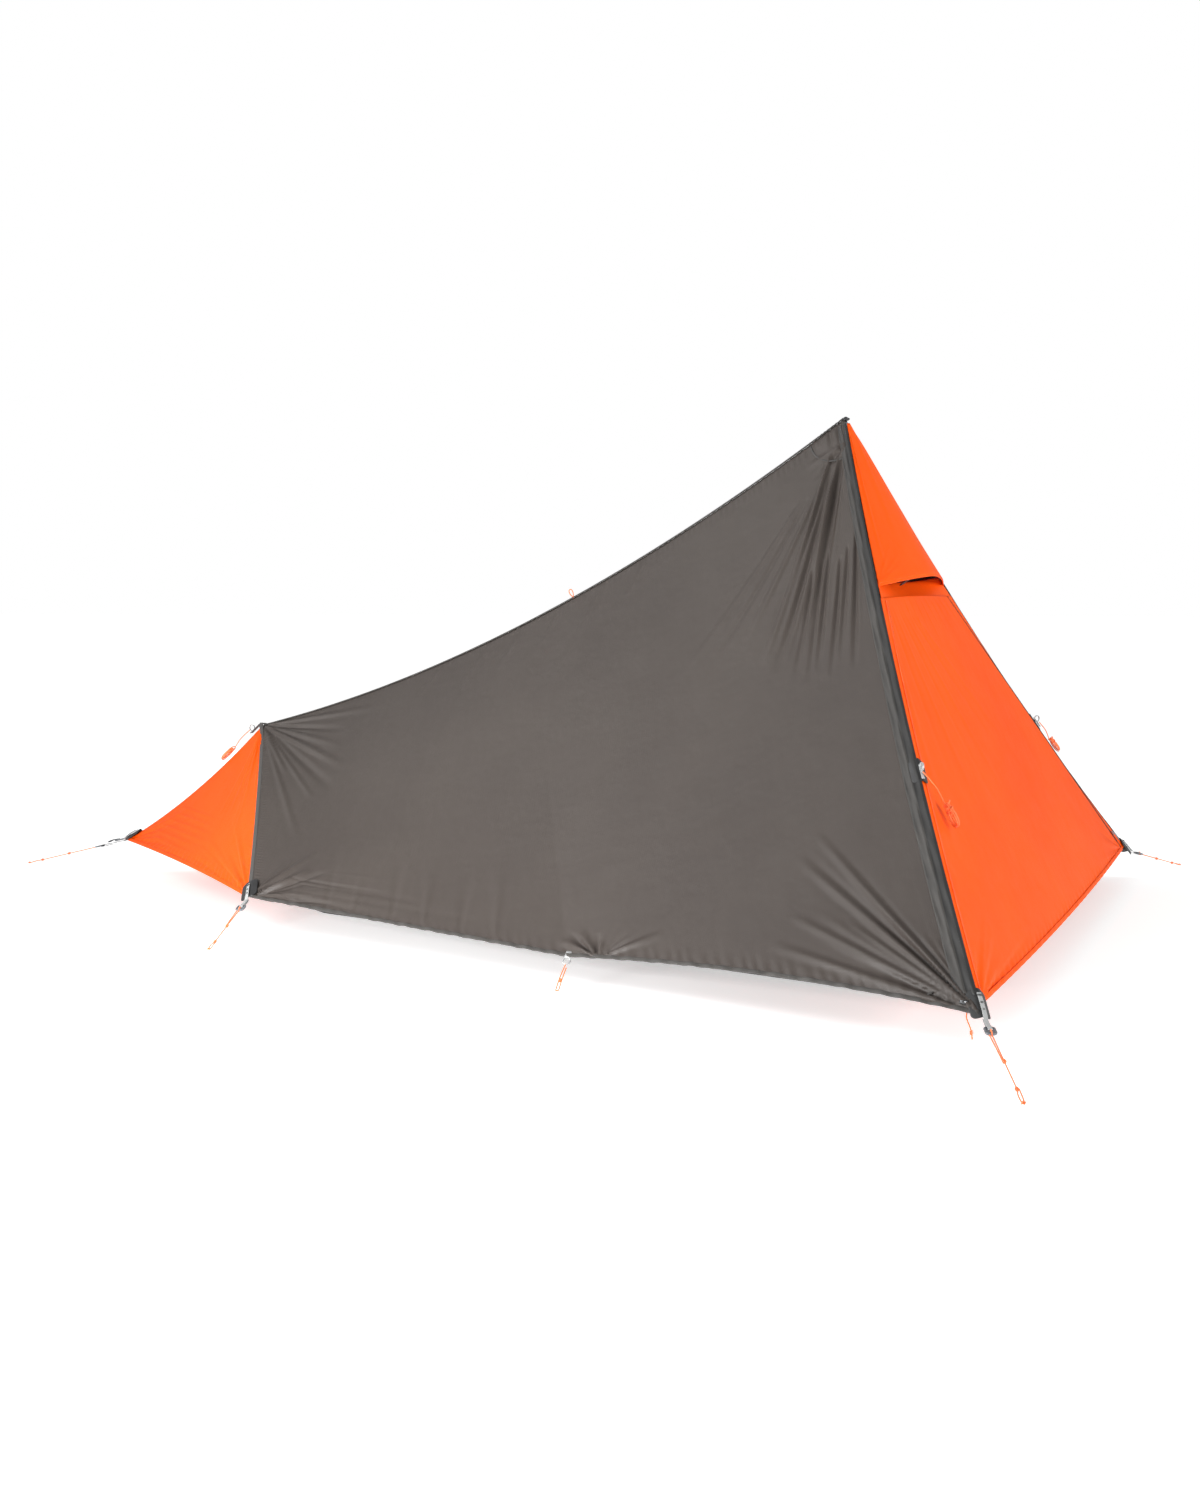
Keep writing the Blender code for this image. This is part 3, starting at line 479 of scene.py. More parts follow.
def linear(colour):
    """An sRGB hex value as linear RGBA; a colour setting is linear already."""
    if not isinstance(colour, str):
        return (*colour, 1.0)
    values = [int(colour[i:i + 2], 16) / 255 for i in (1, 3, 5)]
    return (*[c / 12.92 if c <= 0.04045 else ((c + 0.055) / 1.055) ** 2.4 for c in values], 1.0)


def feed(tree, socket, value):
    """Links a socket to the one given, or sets it to a value."""
    if isinstance(value, bpy.types.NodeSocket):
        tree.links.new(value, socket)
    else:
        socket.default_value = value


def add_node(tree, kind, inputs=None, **settings):
    """A node with its settings, fed from inputs by socket name or number."""
    node = tree.nodes.new(kind)
    for key, value in settings.items():
        setattr(node, key, value)
    for key, value in (inputs or {}).items():
        feed(tree, node.inputs[key], value)
    return node


def material_of(name, build):
    """A material whose tree is made once by build(tree), which returns its last shader."""
    made = bpy.data.materials.get(name)
    if made:
        return made
    made = bpy.data.materials.new(name)
    made.use_nodes = True
    made.node_tree.nodes.clear()
    shader = build(made.node_tree)
    add_node(made.node_tree, "ShaderNodeOutputMaterial", {"Surface": shader.outputs[0]})
    return made


def colour_mix(tree, factor, first, second):
    """The first colour where factor is 0 and the second where it is 1."""
    node = add_node(tree, "ShaderNodeMix", data_type="RGBA")
    for number, value in ((0, factor), (6, first), (7, second)):
        feed(tree, node.inputs[number], value)
    return node.outputs[2]


def drifting(tree, colour, darker, per_metre, detail=3.0):
    """A colour that drifts to a darker one, over patches of a real size."""
    place = add_node(tree, "ShaderNodeTexCoord").outputs["Object"]
    noise = add_node(tree, "ShaderNodeTexNoise",
                     {"Vector": place, "Scale": per_metre, "Detail": detail, "Roughness": 0.55})
    spread = add_node(tree, "ShaderNodeMapRange", {"Value": noise.outputs[0], "From Min": 0.32,
                                                   "From Max": 0.68})
    return colour_mix(tree, spread.outputs[0], linear(colour), linear(darker))


def threads(tree, spacing, thread):
    """The raised threads of a ripstop grid, from its real spacing and thread width."""
    place = add_node(tree, "ShaderNodeUVMap", uv_map="cloth")
    grid = add_node(tree, "ShaderNodeTexBrick",
                    {"Vector": place.outputs[0], "Scale": 1.0, "Mortar Size": thread,
                     "Mortar Smooth": 0.6, "Brick Width": spacing, "Row Height": spacing},
                    offset=0.0, squash=1.0)
    return grid.outputs["Fac"]


def bumped(tree, height, distance, strength=1.0, below=None):
    """A bump of a real height in metres, over the one below."""
    inputs = {"Height": height, "Distance": distance, "Strength": strength}
    if below is not None:
        inputs["Normal"] = below
    return add_node(tree, "ShaderNodeBump", inputs).outputs[0]


def fine_noise(tree, millimetres, detail=2.0):
    """Noise whose grains are that many millimetres across."""
    place = add_node(tree, "ShaderNodeTexCoord").outputs["Object"]
    return add_node(tree, "ShaderNodeTexNoise", {"Vector": place, "Scale": 1000.0 / millimetres,
                                                 "Detail": detail}).outputs[0]


# Blender's wave texture repeats every pi / 10 metres at a scale of one
WAVE_PERIOD = math.pi / 10


def ribs(tree, millimetres, direction):
    """Ribs a real distance apart."""
    place = add_node(tree, "ShaderNodeTexCoord").outputs["Object"]
    return add_node(tree, "ShaderNodeTexWave",
                    {"Vector": place, "Scale": WAVE_PERIOD * 1000.0 / millimetres,
                     "Distortion": 0.0},
                    wave_type="BANDS", bands_direction=direction, wave_profile="SIN").outputs["Fac"]


def coated_ripstop(name, colour, darker, glow, share, roughness, gloss):
    """Silicone-coated ripstop nylon: a thin slick film over a grid of thick threads.

    The film gives soft window-shaped highlights on every fold, and light shines through.
    """
    def build(tree):
        base = drifting(tree, colour, darker, 1.7, 4.0)
        grid = threads(tree, 0.005, 0.0005)
        base = colour_mix(tree, grid, base, linear(darker))
        crumple = bumped(tree, fine_noise(tree, 38.0, 3.0), 0.0011)
        normal = bumped(tree, grid, 0.00012, 0.7, crumple)
        shine = add_node(tree, "ShaderNodeMapRange",
                         {"Value": fine_noise(tree, 90.0, 3.0), "To Min": roughness - 0.05,
                          "To Max": roughness + 0.07})
        face = add_node(tree, "ShaderNodeBsdfPrincipled",
                        {"Base Color": base, "Roughness": shine.outputs[0], "Normal": normal,
                         "IOR": 1.43, "Specular IOR Level": gloss})
        through = add_node(tree, "ShaderNodeBsdfTranslucent", {"Color": linear(glow)})
        return add_node(tree, "ShaderNodeMixShader", {0: share, 1: face.outputs[0],
                                                      2: through.outputs[0]})
    return material_of(name, build)


def taffeta(name, colour, darker, roughness):
    """Coated polyester taffeta, tightly woven: flat and dark, with a dull sheen."""
    def build(tree):
        base = drifting(tree, colour, darker, 14.0)
        weave = fine_noise(tree, 1.6)
        normal = bumped(tree, weave, 0.0002, 0.6, bumped(tree, fine_noise(tree, 24.0), 0.0008))
        return add_node(tree, "ShaderNodeBsdfPrincipled",
                        {"Base Color": base, "Roughness": roughness, "Normal": normal,
                         "Sheen Weight": 0.08})
    return material_of(name, build)


def woven_tape(name, colour, darker, rib_mm, roughness=0.7, metallic=0.0):
    """Woven polyester tape: cross ribs that catch the light one by one, coloured lighter on each
    rib and darker between them as painted highlight and painted shade.
    """
    def build(tree):
        rib = ribs(tree, rib_mm, "DIAGONAL")
        # painted shade between the ribs and a painted highlight on each rib
        base = colour_mix(tree, rib, linear(darker), linear(colour))
        normal = bumped(tree, rib, 0.0003, 0.8, bumped(tree, fine_noise(tree, 2.0), 0.0002))
        return add_node(tree, "ShaderNodeBsdfPrincipled",
                        {"Base Color": base, "Roughness": roughness, "Normal": normal,
                         "Metallic": metallic, "Sheen Weight": 0.1})
    return material_of(name, build)


def laminated_patch(name, colour, darker):
    """A laminated sailcloth patch: near black, with a coarse grain under a satin film."""
    def build(tree):
        base = drifting(tree, colour, darker, 60.0)
        normal = bumped(tree, fine_noise(tree, 1.5), 0.0003, 0.8)
        return add_node(tree, "ShaderNodeBsdfPrincipled",
                        {"Base Color": base, "Roughness": 0.42, "Normal": normal,
                         "Coat Weight": 0.15, "Coat Roughness": 0.3})
    return material_of(name, build)


def moulded_acetal(name, colour, lighter):
    """Moulded acetal: a fine spark-eroded grain, satin, paler where edges have rubbed."""
    def build(tree):
        base = drifting(tree, colour, lighter, 220.0)
        normal = bumped(tree, fine_noise(tree, 0.7), 0.00008, 0.6)
        return add_node(tree, "ShaderNodeBsdfPrincipled",
                        {"Base Color": base, "Roughness": 0.38, "Normal": normal, "IOR": 1.48})
    return material_of(name, build)


def moulded_rubber(name, colour, lighter):
    """Moulded rubber: matte, with dust in its grain."""
    def build(tree):
        base = drifting(tree, colour, lighter, 130.0)
        normal = bumped(tree, fine_noise(tree, 1.2), 0.0002, 0.7)
        return add_node(tree, "ShaderNodeBsdfPrincipled",
                        {"Base Color": base, "Roughness": 0.85, "Normal": normal})
    return material_of(name, build)


def satin_metal(name, colour, darker, roughness, grain_mm):
    """Cast zinc or drawn aluminium: a satin face with fine lengthwise grain."""
    def build(tree):
        base = drifting(tree, colour, darker, 90.0)
        place = add_node(tree, "ShaderNodeTexCoord").outputs["Object"]
        stretched = add_node(tree, "ShaderNodeMapping",
                             {"Vector": place, "Scale": (1.0, 1.0, 0.04)}).outputs[0]
        grain = add_node(tree, "ShaderNodeTexNoise", {"Vector": stretched,
                                                      "Scale": 1000.0 / grain_mm}).outputs[0]
        normal = bumped(tree, grain, 0.00004, 0.5)
        return add_node(tree, "ShaderNodeBsdfPrincipled",
                        {"Base Color": base, "Roughness": roughness, "Metallic": 1.0,
                         "Normal": normal})
    return material_of(name, build)


def braided_cord(name, colour, lighter):
    """Braided polyester cord: slanting carriers 1.5 mm long, drawn at 2 mm so that they show."""
    def build(tree):
        first, second = ribs(tree, 2.0, "DIAGONAL"), ribs(tree, 2.3, "Z")
        carriers = add_node(tree, "ShaderNodeMath", {0: first, 1: second}, operation="MAXIMUM")
        base = colour_mix(tree, carriers.outputs[0], linear(colour), linear(lighter))
        normal = bumped(tree, carriers.outputs[0], 0.0003, 0.8)
        return add_node(tree, "ShaderNodeBsdfPrincipled",
                        {"Base Color": base, "Roughness": 0.7, "Normal": normal,
                         "Sheen Weight": 0.15})
    return material_of(name, build)


def insect_netting(name, colour, hole):
    """Insect netting: 0.8 mm holes, drawn at 3 mm so that they show, under half of it open."""
    def build(tree):
        grid = threads(tree, 0.003, 0.0011)
        thread = add_node(tree, "ShaderNodeBsdfPrincipled",
                          {"Base Color": drifting(tree, colour, hole, 40.0), "Roughness": 0.75,
                           "Normal": bumped(tree, grid, 0.0003)})
        opening = add_node(tree, "ShaderNodeBsdfTransparent")
        return add_node(tree, "ShaderNodeMixShader", {0: grid, 1: opening.outputs[0],
                                                      2: thread.outputs[0]})
    return material_of(name, build)


def lit_floor(name, colour, darker, glow):
    """An opal studio floor, lit a little from below, so that shadows on it stay soft and pale."""
    def build(tree):
        return add_node(tree, "ShaderNodeBsdfPrincipled",
                        {"Base Color": drifting(tree, colour, darker, 0.4), "Roughness": 0.9,
                         "Normal": bumped(tree, fine_noise(tree, 4.0), 0.00004, 0.3),
                         "Specular IOR Level": 0.2, "Emission Strength": glow,
                         "Emission Color": linear("#ffffff")})
    return material_of(name, build)


def finishes(tent):
    """Every finish on the tent, by the name of what it is: its material and its usual slot."""
    return {
        "grey": (coated_ripstop("silicone_ripstop_grey", tent.grey, "#413a36", "#5a534d",
                                0.10, 0.45, 0.42), "grey_ripstop"),
        "orange": (coated_ripstop("silicone_ripstop_orange", tent.orange, "#fb5600", "#ff5f10",
                                  0.17, 0.50, 0.20), "orange_ripstop"),
        "flap": (taffeta("coated_taffeta_charcoal", "#3b3835", "#2f2d2b", 0.58), "charcoal_flap"),
        # a darker copy of the flap's taffeta: painted shade by the door edge and a painted shadow
        # line at the back edge
        "flap_painted_shade": (taffeta("coated_taffeta_charcoal_painted_shade", "#1a1918", "#141312", 0.58),
                      "charcoal_flap"),
        "hem": (taffeta("folded_hem_grey", "#3e3b38", "#312e2b", 0.55), "grey_ripstop"),
        "tape": (woven_tape("grosgrain_charcoal", "#504d4a", "#383634", 1.5), "charcoal_tape"),
        # paler than the door's own cloth: a painted highlight along the piping
        "piping": (taffeta("ripstop_piping_orange_painted_highlight", "#ff7a3c", "#ff5a1c", 0.4), "orange_ripstop"),
        "patch": (laminated_patch("laminated_sailcloth_black", "#1d1d1e", "#121213"),
                  "black_patch"),
        "webbing": (woven_tape("reflective_webbing_silver", "#cfd0cf", "#8b8d8e", 2.0, 0.32,
                               0.25), "silver_webbing"),
        "dark_webbing": (woven_tape("polyester_webbing_charcoal", "#3b3d40", "#232426", 1.8, 0.6),
                         "charcoal_tape"),
        "acetal": (moulded_acetal("moulded_acetal_black", "#1a1b1c", "#2f3032"), "black_plastic"),
        "buckle": (moulded_acetal("moulded_acetal_grey", "#55585c", "#7b7f84"), "black_plastic"),
        "rubber": (moulded_rubber("moulded_rubber_black", "#161616", "#262625"), "black_rubber"),
        "zinc": (satin_metal("cast_zinc_satin", "#c9cbce", "#9fa2a6", 0.30, 0.8),
                 "brushed_metal"),
        "aluminium": (satin_metal("anodised_aluminium_satin", "#d5d7da", "#b4b7bb", 0.34, 0.5),
                      "anodised_aluminium"),
        "cord": (braided_cord("braided_polyester_cord_orange", "#e2521c", "#ff8c50"),
                 "orange_cord"),
        "thread": (braided_cord("bonded_thread_black", "#1b1b1b", "#3a3a3a"), "charcoal_flap"),
        "netting": (insect_netting("insect_netting_black", "#202124", "#101012"),
                    "vent_netting"),
        "floor": (taffeta("coated_nylon_floor_charcoal", "#35322f", "#292624", 0.5),
                  "floor_fabric"),
    }


# ---------------------------------------------------------------- cords

def corner_axes(corner, anchor):
    """Axes of a guy line at its corner: across, outward along the line, and up."""
    outward = unit(anchor - corner)
    across = unit(np.cross(outward, Z))
    return across, outward, unit(np.cross(across, outward))


def staked_corners():
    """Each staked corner: its name, side, corner, anchor, how far out its lock is, its edge."""
    made = []
    for label, side in SIDES:
        for end, corner, anchor, edge in (
                ("_front", FRONT_CORNER, FRONT_ANCHOR, front_edge(side)),
                ("_foot", FOOT_CORNER, FOOT_CORNER_ANCHOR, foot_seam(side))):
            made.append((label + end, side, at(corner, side), on_ground(anchor, side),
                         LOCK_START + GAP, edge))
    made.append(("foot_tip", 0.0, at(FOOT_TIP), on_ground(TIP_ANCHOR), TIP_STRAP + GAP, None))
    return made


def as_cord(path):
    """Works out the length of a cord's path, and does nothing with it."""
    round(float(walked_along(path)[-1]), 3)


def guy_route(start, anchor):
    """A taut guy line that ends in an eye on the ground and comes back to its knot."""
    run = anchor - start
    across = unit(np.cross(unit(run), Z))
    tied, half_eye, lift = start + run * 0.80, 0.0030, Z * CORD * 0.4
    return route([start, start + run * 0.25, start + run * 0.52, tied,
                  start + run * 0.88 + across * half_eye + lift,
                  start + run * 0.96 + across * half_eye * 0.9,
                  anchor,
                  start + run * 0.96 - across * half_eye * 0.9,
                  start + run * 0.88 - across * half_eye + lift,
                  tied - across * 0.0038], 0.003)


def knot(centre, along, size=0.0042, turns=2.4):
    """A tight overhand knot, as the cord's own turns round itself."""
    along = unit(along)
    side = unit(np.cross(along, Z if abs(along[2]) < 0.9 else X))
    up = np.cross(side, along)
    s = np.linspace(0, 1, int(turns * 14))
    angle = 2 * math.pi * turns * s
    bulge = 0.45 + 0.55 * np.sin(math.pi * s)
    path = (centre + np.outer((s - 0.5) * size * 1.9, along)
            + np.outer(np.cos(angle) * bulge * size * 0.62, side)
            + np.outer(np.sin(angle) * bulge * size * 0.62, up))
    path[:, 2] = np.maximum(path[:, 2], CORD * 0.5)
    return strand(path, CORD * 0.45, 8)


def build_guy_lines(tent):
    """Each guy line with its knots, and its doubled end beside it."""
    braid = finishes(tent)["cord"]
    for label, _, corner, anchor, lock_start, _ in staked_corners():
        across, outward, _ = corner_axes(corner, anchor)
        start = corner + outward * (lock_start + LINE_LOCK[1] + GAP)
        path = guy_route(start, anchor)
        run = anchor - start
        line = piece(label + "_guy_line", strand(path, CORD / 2), braid,
                     replaces=label + "_guy_cord")
        knots = piece(label + "_guy_knots", [knot(start + run * 0.40, run, 0.0050),
                                             knot(start + run * 0.80, run, 0.0048),
                                             knot(anchor + Z * 0.001, across, 0.0040, 1.8)],
                      braid)
        back = route([start + across * 0.0048, start + run * 0.2 + across * 0.0034,
                      start + run * 0.39 + across * 0.0026], 0.003)
        doubled = piece(label + "_guy_return", strand(back, CORD / 2), braid)
        as_cord(path)
        as_cord(back)


def build_hem_cords(tent):
    """The closed loops of cord that stake the middle of each hem."""
    braid = finishes(tent)["cord"]
    for label, side in SIDES:
        place, anchor = at(HEM_LOOP, side), on_ground(HEM_ANCHOR, side)
        across, outward, _ = corner_axes(place, anchor)
        start = place + outward * (2 * RING_MAJOR + 2 * RING_MINOR + 0.002 + GAP)
        middle = start + (anchor - start) * 0.5
        path = route([start, middle + across * 0.003, anchor + across * 0.003,
                      anchor + outward * 0.004, anchor - across * 0.003, middle - across * 0.003,
                      start + (anchor - start) * 0.12 - across * 0.004], 0.0025)
        cord = piece(label + "_hem_line", strand(path, CORD / 2), braid,
                     replaces=label + "_hem_cord")
        knots = piece(label + "_hem_knot", knot(start + (anchor - start) * 0.62, anchor - start),
                      braid)
        as_cord(path)


def hank_route(start, centre, across, lie, away, twist=0.0, width=HANK[0]):
    """A stored cord: down from its loop, four hanging turns, and a wrap round their waist."""
    length, depth = HANK[1:]
    across, away = (across * math.cos(twist) + away * math.sin(twist),
                    away * math.cos(twist) - across * math.sin(twist))
    pitch = (depth - CORD * 1.15) / 4
    top = centre - lie * (length / 2 - 0.002)
    points = [start, start + (top - start) * 0.55 + away * 0.002]
    for turn in range(4):
        wide = (width / 2 - CORD / 2) * (1.0, 0.82, 0.94, 0.74)[turn]
        tall = (length / 2 - CORD / 2) * (1.0, 0.90, 0.97, 0.84)[turn]
        for step in range(14):
            angle = 2 * math.pi * step / 14
            depth_at = (turn + step / 14 - 2.0) * pitch
            points.append(centre - lie * (math.cos(angle) * tall - 0.0015)
                          + across * math.sin(angle) * wide * (0.74 - 0.26 * math.cos(angle))
                          + away * depth_at)
    waist = centre - lie * length * 0.19
    for step in range(22):
        angle = 2 * math.pi * step / 9 + 0.6
        points.append(waist + lie * (step * 0.0030 / 2 - 0.016)
                      + across * math.sin(angle) * width * 0.36
                      + away * math.cos(angle) * (depth / 2 - CORD / 2))
    return route(points, 0.0022)


def stored_places():
    """Where each unused guy line hangs: name, body, loop axes and hank axes."""
    made = []
    for label, side in SIDES:
        edge = front_edge(side)
        place = edge(TIE_OUT)
        down = unit(edge(TIE_OUT + 0.09) - place)
        outward = unit(side_normal(side, TIE_OUT) + door_normal())
        outward = unit(outward - down * (outward @ down))
        centre = place + outward * (RING_MAJOR + RING_MINOR + 0.004)
        start = centre + down * (RING_MAJOR + RING_MINOR + 0.003)
        lie, away, body = down, outward, "canopy"
        if side < 0:
            lie, away, body = unit(np.cross(Y, door_normal())), door_normal(), "door"
        hank = place + lie * HANK_DROP + away * (HANK[2] / 2 + 0.008)
        made.append((label, body, centre, down, outward, start, hank, lie, away))

    line = foot_ridge()
    place = line(0.05)
    down = unit(line(0.35) - place)
    up = above(down)
    centre = place + up * (RING_MAJOR + RING_MINOR + 0.009)
    start = centre + down * (RING_MAJOR + RING_MINOR + GAP)
    hank = line(0.225) + up * (HANK[2] / 2 + 0.012)
    made.append(("foot", "canopy", centre, down, up, start, hank, down, up))
    return made


def build_stored_lines(tent):
    """The spare guy lines; the near one lies on the door."""
    braid = finishes(tent)["cord"]
    for label, body, _, down, _, start, hank, lie, away in stored_places():
        joined = body == "door"
        flat = unit(np.cross(lie, away))
        path = (hank_route(start, hank + away * 0.008, flat, lie, away,
                           math.radians(-45) * np.sign(flat[1]), 0.036) if joined
                else hank_route(start, hank, flat, lie, away))
        line = piece(label + "_stored_line", strand(path, CORD / 2, 8), braid,
                     None if joined else body, replaces=(label + "_tie_cord", label + "_tie_hank"))
        if joined:
            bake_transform(line)
        as_cord(path)


def toggle_axes():
    """Where the toggle sits, the way back along the hem and the way out of the cloth."""
    surface = side_surface(-1.0)
    place = surface(0.016, 0.988)
    back = unit(surface(0.036, 0.988) - place)
    outward = side_normal(-1.0, 0.97)
    return place, back, unit(outward - back * (outward @ back))


def build_pull_cord(tent):
    """The cord pull that hangs from the toggle at the front of the near hem."""
    braid = finishes(tent)["cord"]
    _, _, outward = toggle_axes()
    start = side_surface(-1.0)(0.016, 1.0) + outward * 0.004 - Z * 0.003
    end = start + vec(0.012, -0.006, -0.046)
    path = route([start, start - Z * 0.010, end + vec(-0.003, 0, 0.018), end], 0.0025)
    cord = piece("hem_pull_line", strand(path, CORD / 2), braid, replaces="hem_pull_cord")
    knots = piece("hem_pull_knot", knot(path[int(len(path) * 0.72)], -Z, 0.0045), braid)
    as_cord(path)


# ---------------------------------------------------------------- canopy cloth

def front_folds(rng):
    """Folds of a side panel, in its own u (back from the door) and v (down from the ridge)."""
    specs = []
    for number, (gap, reach) in enumerate(((0.0, 1.0), (0.9, 0.96), (1.9, 0.9), (3.0, 0.72))):
        start = (0.024 - 0.004 * number, 0.052 + 0.003 * number)
        end = (0.150 - 0.026 * gap, 0.41 * reach)
        specs.append((start, end, 0.006, 0.021 - 0.002 * number, -0.0150 + 0.0020 * number))
        specs.append(((start[0] + 0.005, start[1]), (end[0] + 0.014, end[1] * 0.94), 0.005, 0.015,
                      0.0120))
    for number in range(6):
        start = (0.014 + 0.0125 * number, 0.215 + 0.014 * (number % 3))
        end = (0.050 + 0.0150 * number, 0.45 - 0.022 * (number % 2))
        specs.append((start, end, 0.005, 0.012, (-0.0062, -0.0040, -0.0052)[number % 3]))
    for number in range(5):
        start = (0.030 + 0.012 * number, 0.10)
        specs.append((start, (0.11 + 0.04 * number, 0.34), 0.005, 0.016,
                      0.0046 * (-1) ** number))
    specs += fan(rng, (0.004, 0.045), (0.01, 0.12), (0.07, 0.035), 6, (0.7, 1.2), 0.006, 0.0060)
    return specs


def side_displacement(side, rng):
    """Everything that shapes a side panel away from its smooth taut surface."""
    surface = side_surface(side)
    specs = front_folds(rng)
    specs += fan(rng, (0.0, 1.0), (0.22, 0.99), (0.12, 0.74), 13, (0.5, 1.2), 0.0095, 0.0080)
    specs += fan(rng, (0.0, 1.0), (0.010, 0.88), (0.045, 0.90), 4, (0.7, 1.1), 0.007, 0.0052)
    specs += fan(rng, (1.0, 1.0), (0.86, 0.985), (0.90, 0.70), 9, (0.5, 1.2), 0.010, 0.0072)
    specs += fan(rng, (1.0, 0.0), (0.80, 0.05), (0.92, 0.75), 9, (0.5, 1.2), 0.010, 0.0066)
    middle = 0.452
    specs += fan(rng, (middle, 1.0), (middle - 0.10, 0.93), (middle + 0.10, 0.93), 9, (0.5, 1.1),
                 0.008, 0.0056)
    for number in range(7):
        place = 0.60 + 0.055 * number + rng.uniform(-0.01, 0.01)
        specs.append(((place, 0.995), (place - 0.02, 0.80 - rng.uniform(0, 0.12)), 0.008, 0.03,
                      0.0012 * (-1) ** number))
    for number in range(6):
        place = 0.83 + 0.024 * number + rng.uniform(-0.008, 0.008)
        specs.append(((rng.uniform(0.88, 0.96), place),
                      (rng.uniform(0.50, 0.76), place + rng.uniform(0.005, 0.030)),
                      0.004, rng.uniform(0.010, 0.020), rng.uniform(-0.0030, 0.0010)))
    for number in range(6):
        place = 0.30 + 0.07 * number + rng.uniform(-0.01, 0.01)
        specs.append(((place, 0.004), (place + 0.05, 0.10 + rng.uniform(0, 0.05)), 0.008, 0.02,
                      0.0011))

    def displace(u, v, points):
        height = creases(surface, points, specs)
        down = v * 1.45
        along = u * 2.0
        height += ripples(down, along, 0.017, 0.0009, 0.022, rng)
        height += ripples((1 - v) * 1.35, along, 0.031, 0.0008, 0.034, rng)
        height += ripples((1 - u) * 2.0, down, 0.020, 0.0011, 0.026, rng)
        apex_gap = np.linalg.norm(points - at((0, 0, APEX_HEIGHT)), axis=-1)
        height += 0.0022 * np.exp(-(apex_gap / 0.080) ** 4) * (1 + 0.9 * np.sin(along * 230))
        height += 0.0009 * (1 - np.tanh((apex_gap - 0.098) / 0.0030))
        billow = np.sin(math.pi * u) * np.sin(math.pi * v)
        height += 0.006 * billow * np.sin(4.3 * u + 2.1 * v + side)
        return height * inside(u, v, 2.0, 1.3, 0.012)
    return displace


def build_side_panels(tent):
    """The two long side panels, each with its folded hem and the seams of its sewn patches."""
    finish = finishes(tent)
    for label, side in SIDES:
        rng = np.random.default_rng(7 if side < 0 else 8)
        surface = side_surface(side)
        fabric = cloth(label + "_side_cloth", surface, 230, 400, (0, side, 1), finish["grey"],
                       side_displacement(side, rng), ((0.0012, 0.9988), (0.002, 0.9985)), 1.35,
                       replaces=label + "_side_panel")
        t = np.linspace(0.004, 0.996, 240)
        path = hem(side)(t) + Z * 0.004
        down = unit(hem(side)(t) - surface(t, np.full_like(t, 0.95)))
        out = unit(np.cross(np.gradient(path, axis=0), down))
        out *= np.sign((out * vec(0, side, 0.4)).sum(-1, keepdims=True))
        wave = 0.0010 * np.sin(t * 310) + 0.0008 * np.sin(t * 173 + 1)
        folded = piece(label + "_hem_fold", sweep(path + out * wave[:, None], down,
                                                  bar(tent.hem_width, 0.0026, 0.45)),
                       finish["hem"])
        turn = np.linspace(0.06, 1.0, 60) * math.pi / 2
        arc = surface(0.052 * np.cos(turn), 0.072 * np.sin(turn))
        gusset = surface(np.linspace(0.060, 0.020, 40), np.linspace(0.992, 0.952, 40))
        lift = side_normal(side, 0.3)
        seams = [sweep(line + lift * 0.0014, unit(np.cross(np.gradient(line, axis=0), lift)),
                       bar(0.0042, 0.0010, 0.4)) for line in (arc, gusset)]
        seam = piece(label + "_patch_seams", seams, finish["hem"])


def foot_surface(side):
    """A foot panel, from just below the foot pole's top down to its hem."""
    first = 0.015
    side_seam, middle = foot_seam(side), foot_ridge()
    return coons(sagging(middle(first), side_seam(first)), foot_hem(side),
                 part_of(middle, first, 1), part_of(side_seam, first, 1))


def build_foot_panels(tent):
    """The two small panels behind the foot pole, each with its folded hem."""
    finish = finishes(tent)
    for label, side in SIDES:
        rng = np.random.default_rng(21 if side < 0 else 22)
        surface = foot_surface(side)
        specs = fan(rng, (0.99, 0.0), (0.45, 0.75), (0.99, 0.75), 9, (0.5, 1.2), 0.009, 0.0030)
        specs += fan(rng, (1.0, 1.0), (0.40, 0.97), (0.75, 0.55), 8, (0.5, 1.2), 0.010, 0.0030)
        specs += fan(rng, (0.0, 1.0), (0.15, 0.55), (0.60, 0.97), 8, (0.5, 1.3), 0.010, 0.0026)
        for number in range(6):
            high = 0.62 + 0.055 * number
            specs.append(((0.05, high), (0.62, high + 0.03), 0.006, 0.010, 0.0016))

        def displace(u, v, points, surface=surface, specs=specs, rng=rng):
            height = creases(surface, points, specs)
            height += ripples((1 - u) * 0.55, v * 0.55, 0.014, 0.0014, 0.030, rng)
            height += ripples((1 - v) * 0.5, u * 0.9, 0.030, 0.0020, 0.026, rng)
            height += ripples(u * 0.5, v * 0.6, 0.016, 0.0008, 0.015, rng)
            return height * inside(u, v, 0.5, 0.5, 0.008)

        fabric = cloth(label + "_foot_cloth", surface, 150, 150, (-1, side, 1), finish["orange"],
                       displace, ((0.001, 0.999), (0.0, 0.998)), replaces=label + "_foot_panel")
        t = np.linspace(0.01, 0.99, 100)
        path = foot_hem(side)(t) + Z * 0.003
        down = unit(foot_hem(side)(t) - surface(t, np.full_like(t, 0.94)))
        folded = piece(label + "_foot_hem_fold", sweep(path, down, bar(0.010, 0.0028, 0.45)),
                       finish["orange"])
        flat_strip_map(folded)


def cloth_zip_line():
    """The zip line carried on to the hem of the door."""
    return part_of(zip_line(), -0.008, (CLOTH_BOTTOM - DOOR_TOP) / (DOOR_BOTTOM - DOOR_TOP))


def door_hem():
    return sagging(front_edge(-1.0)(CLOTH_BOTTOM), cloth_zip_line()(1.0), (0.010, 0, -0.006))


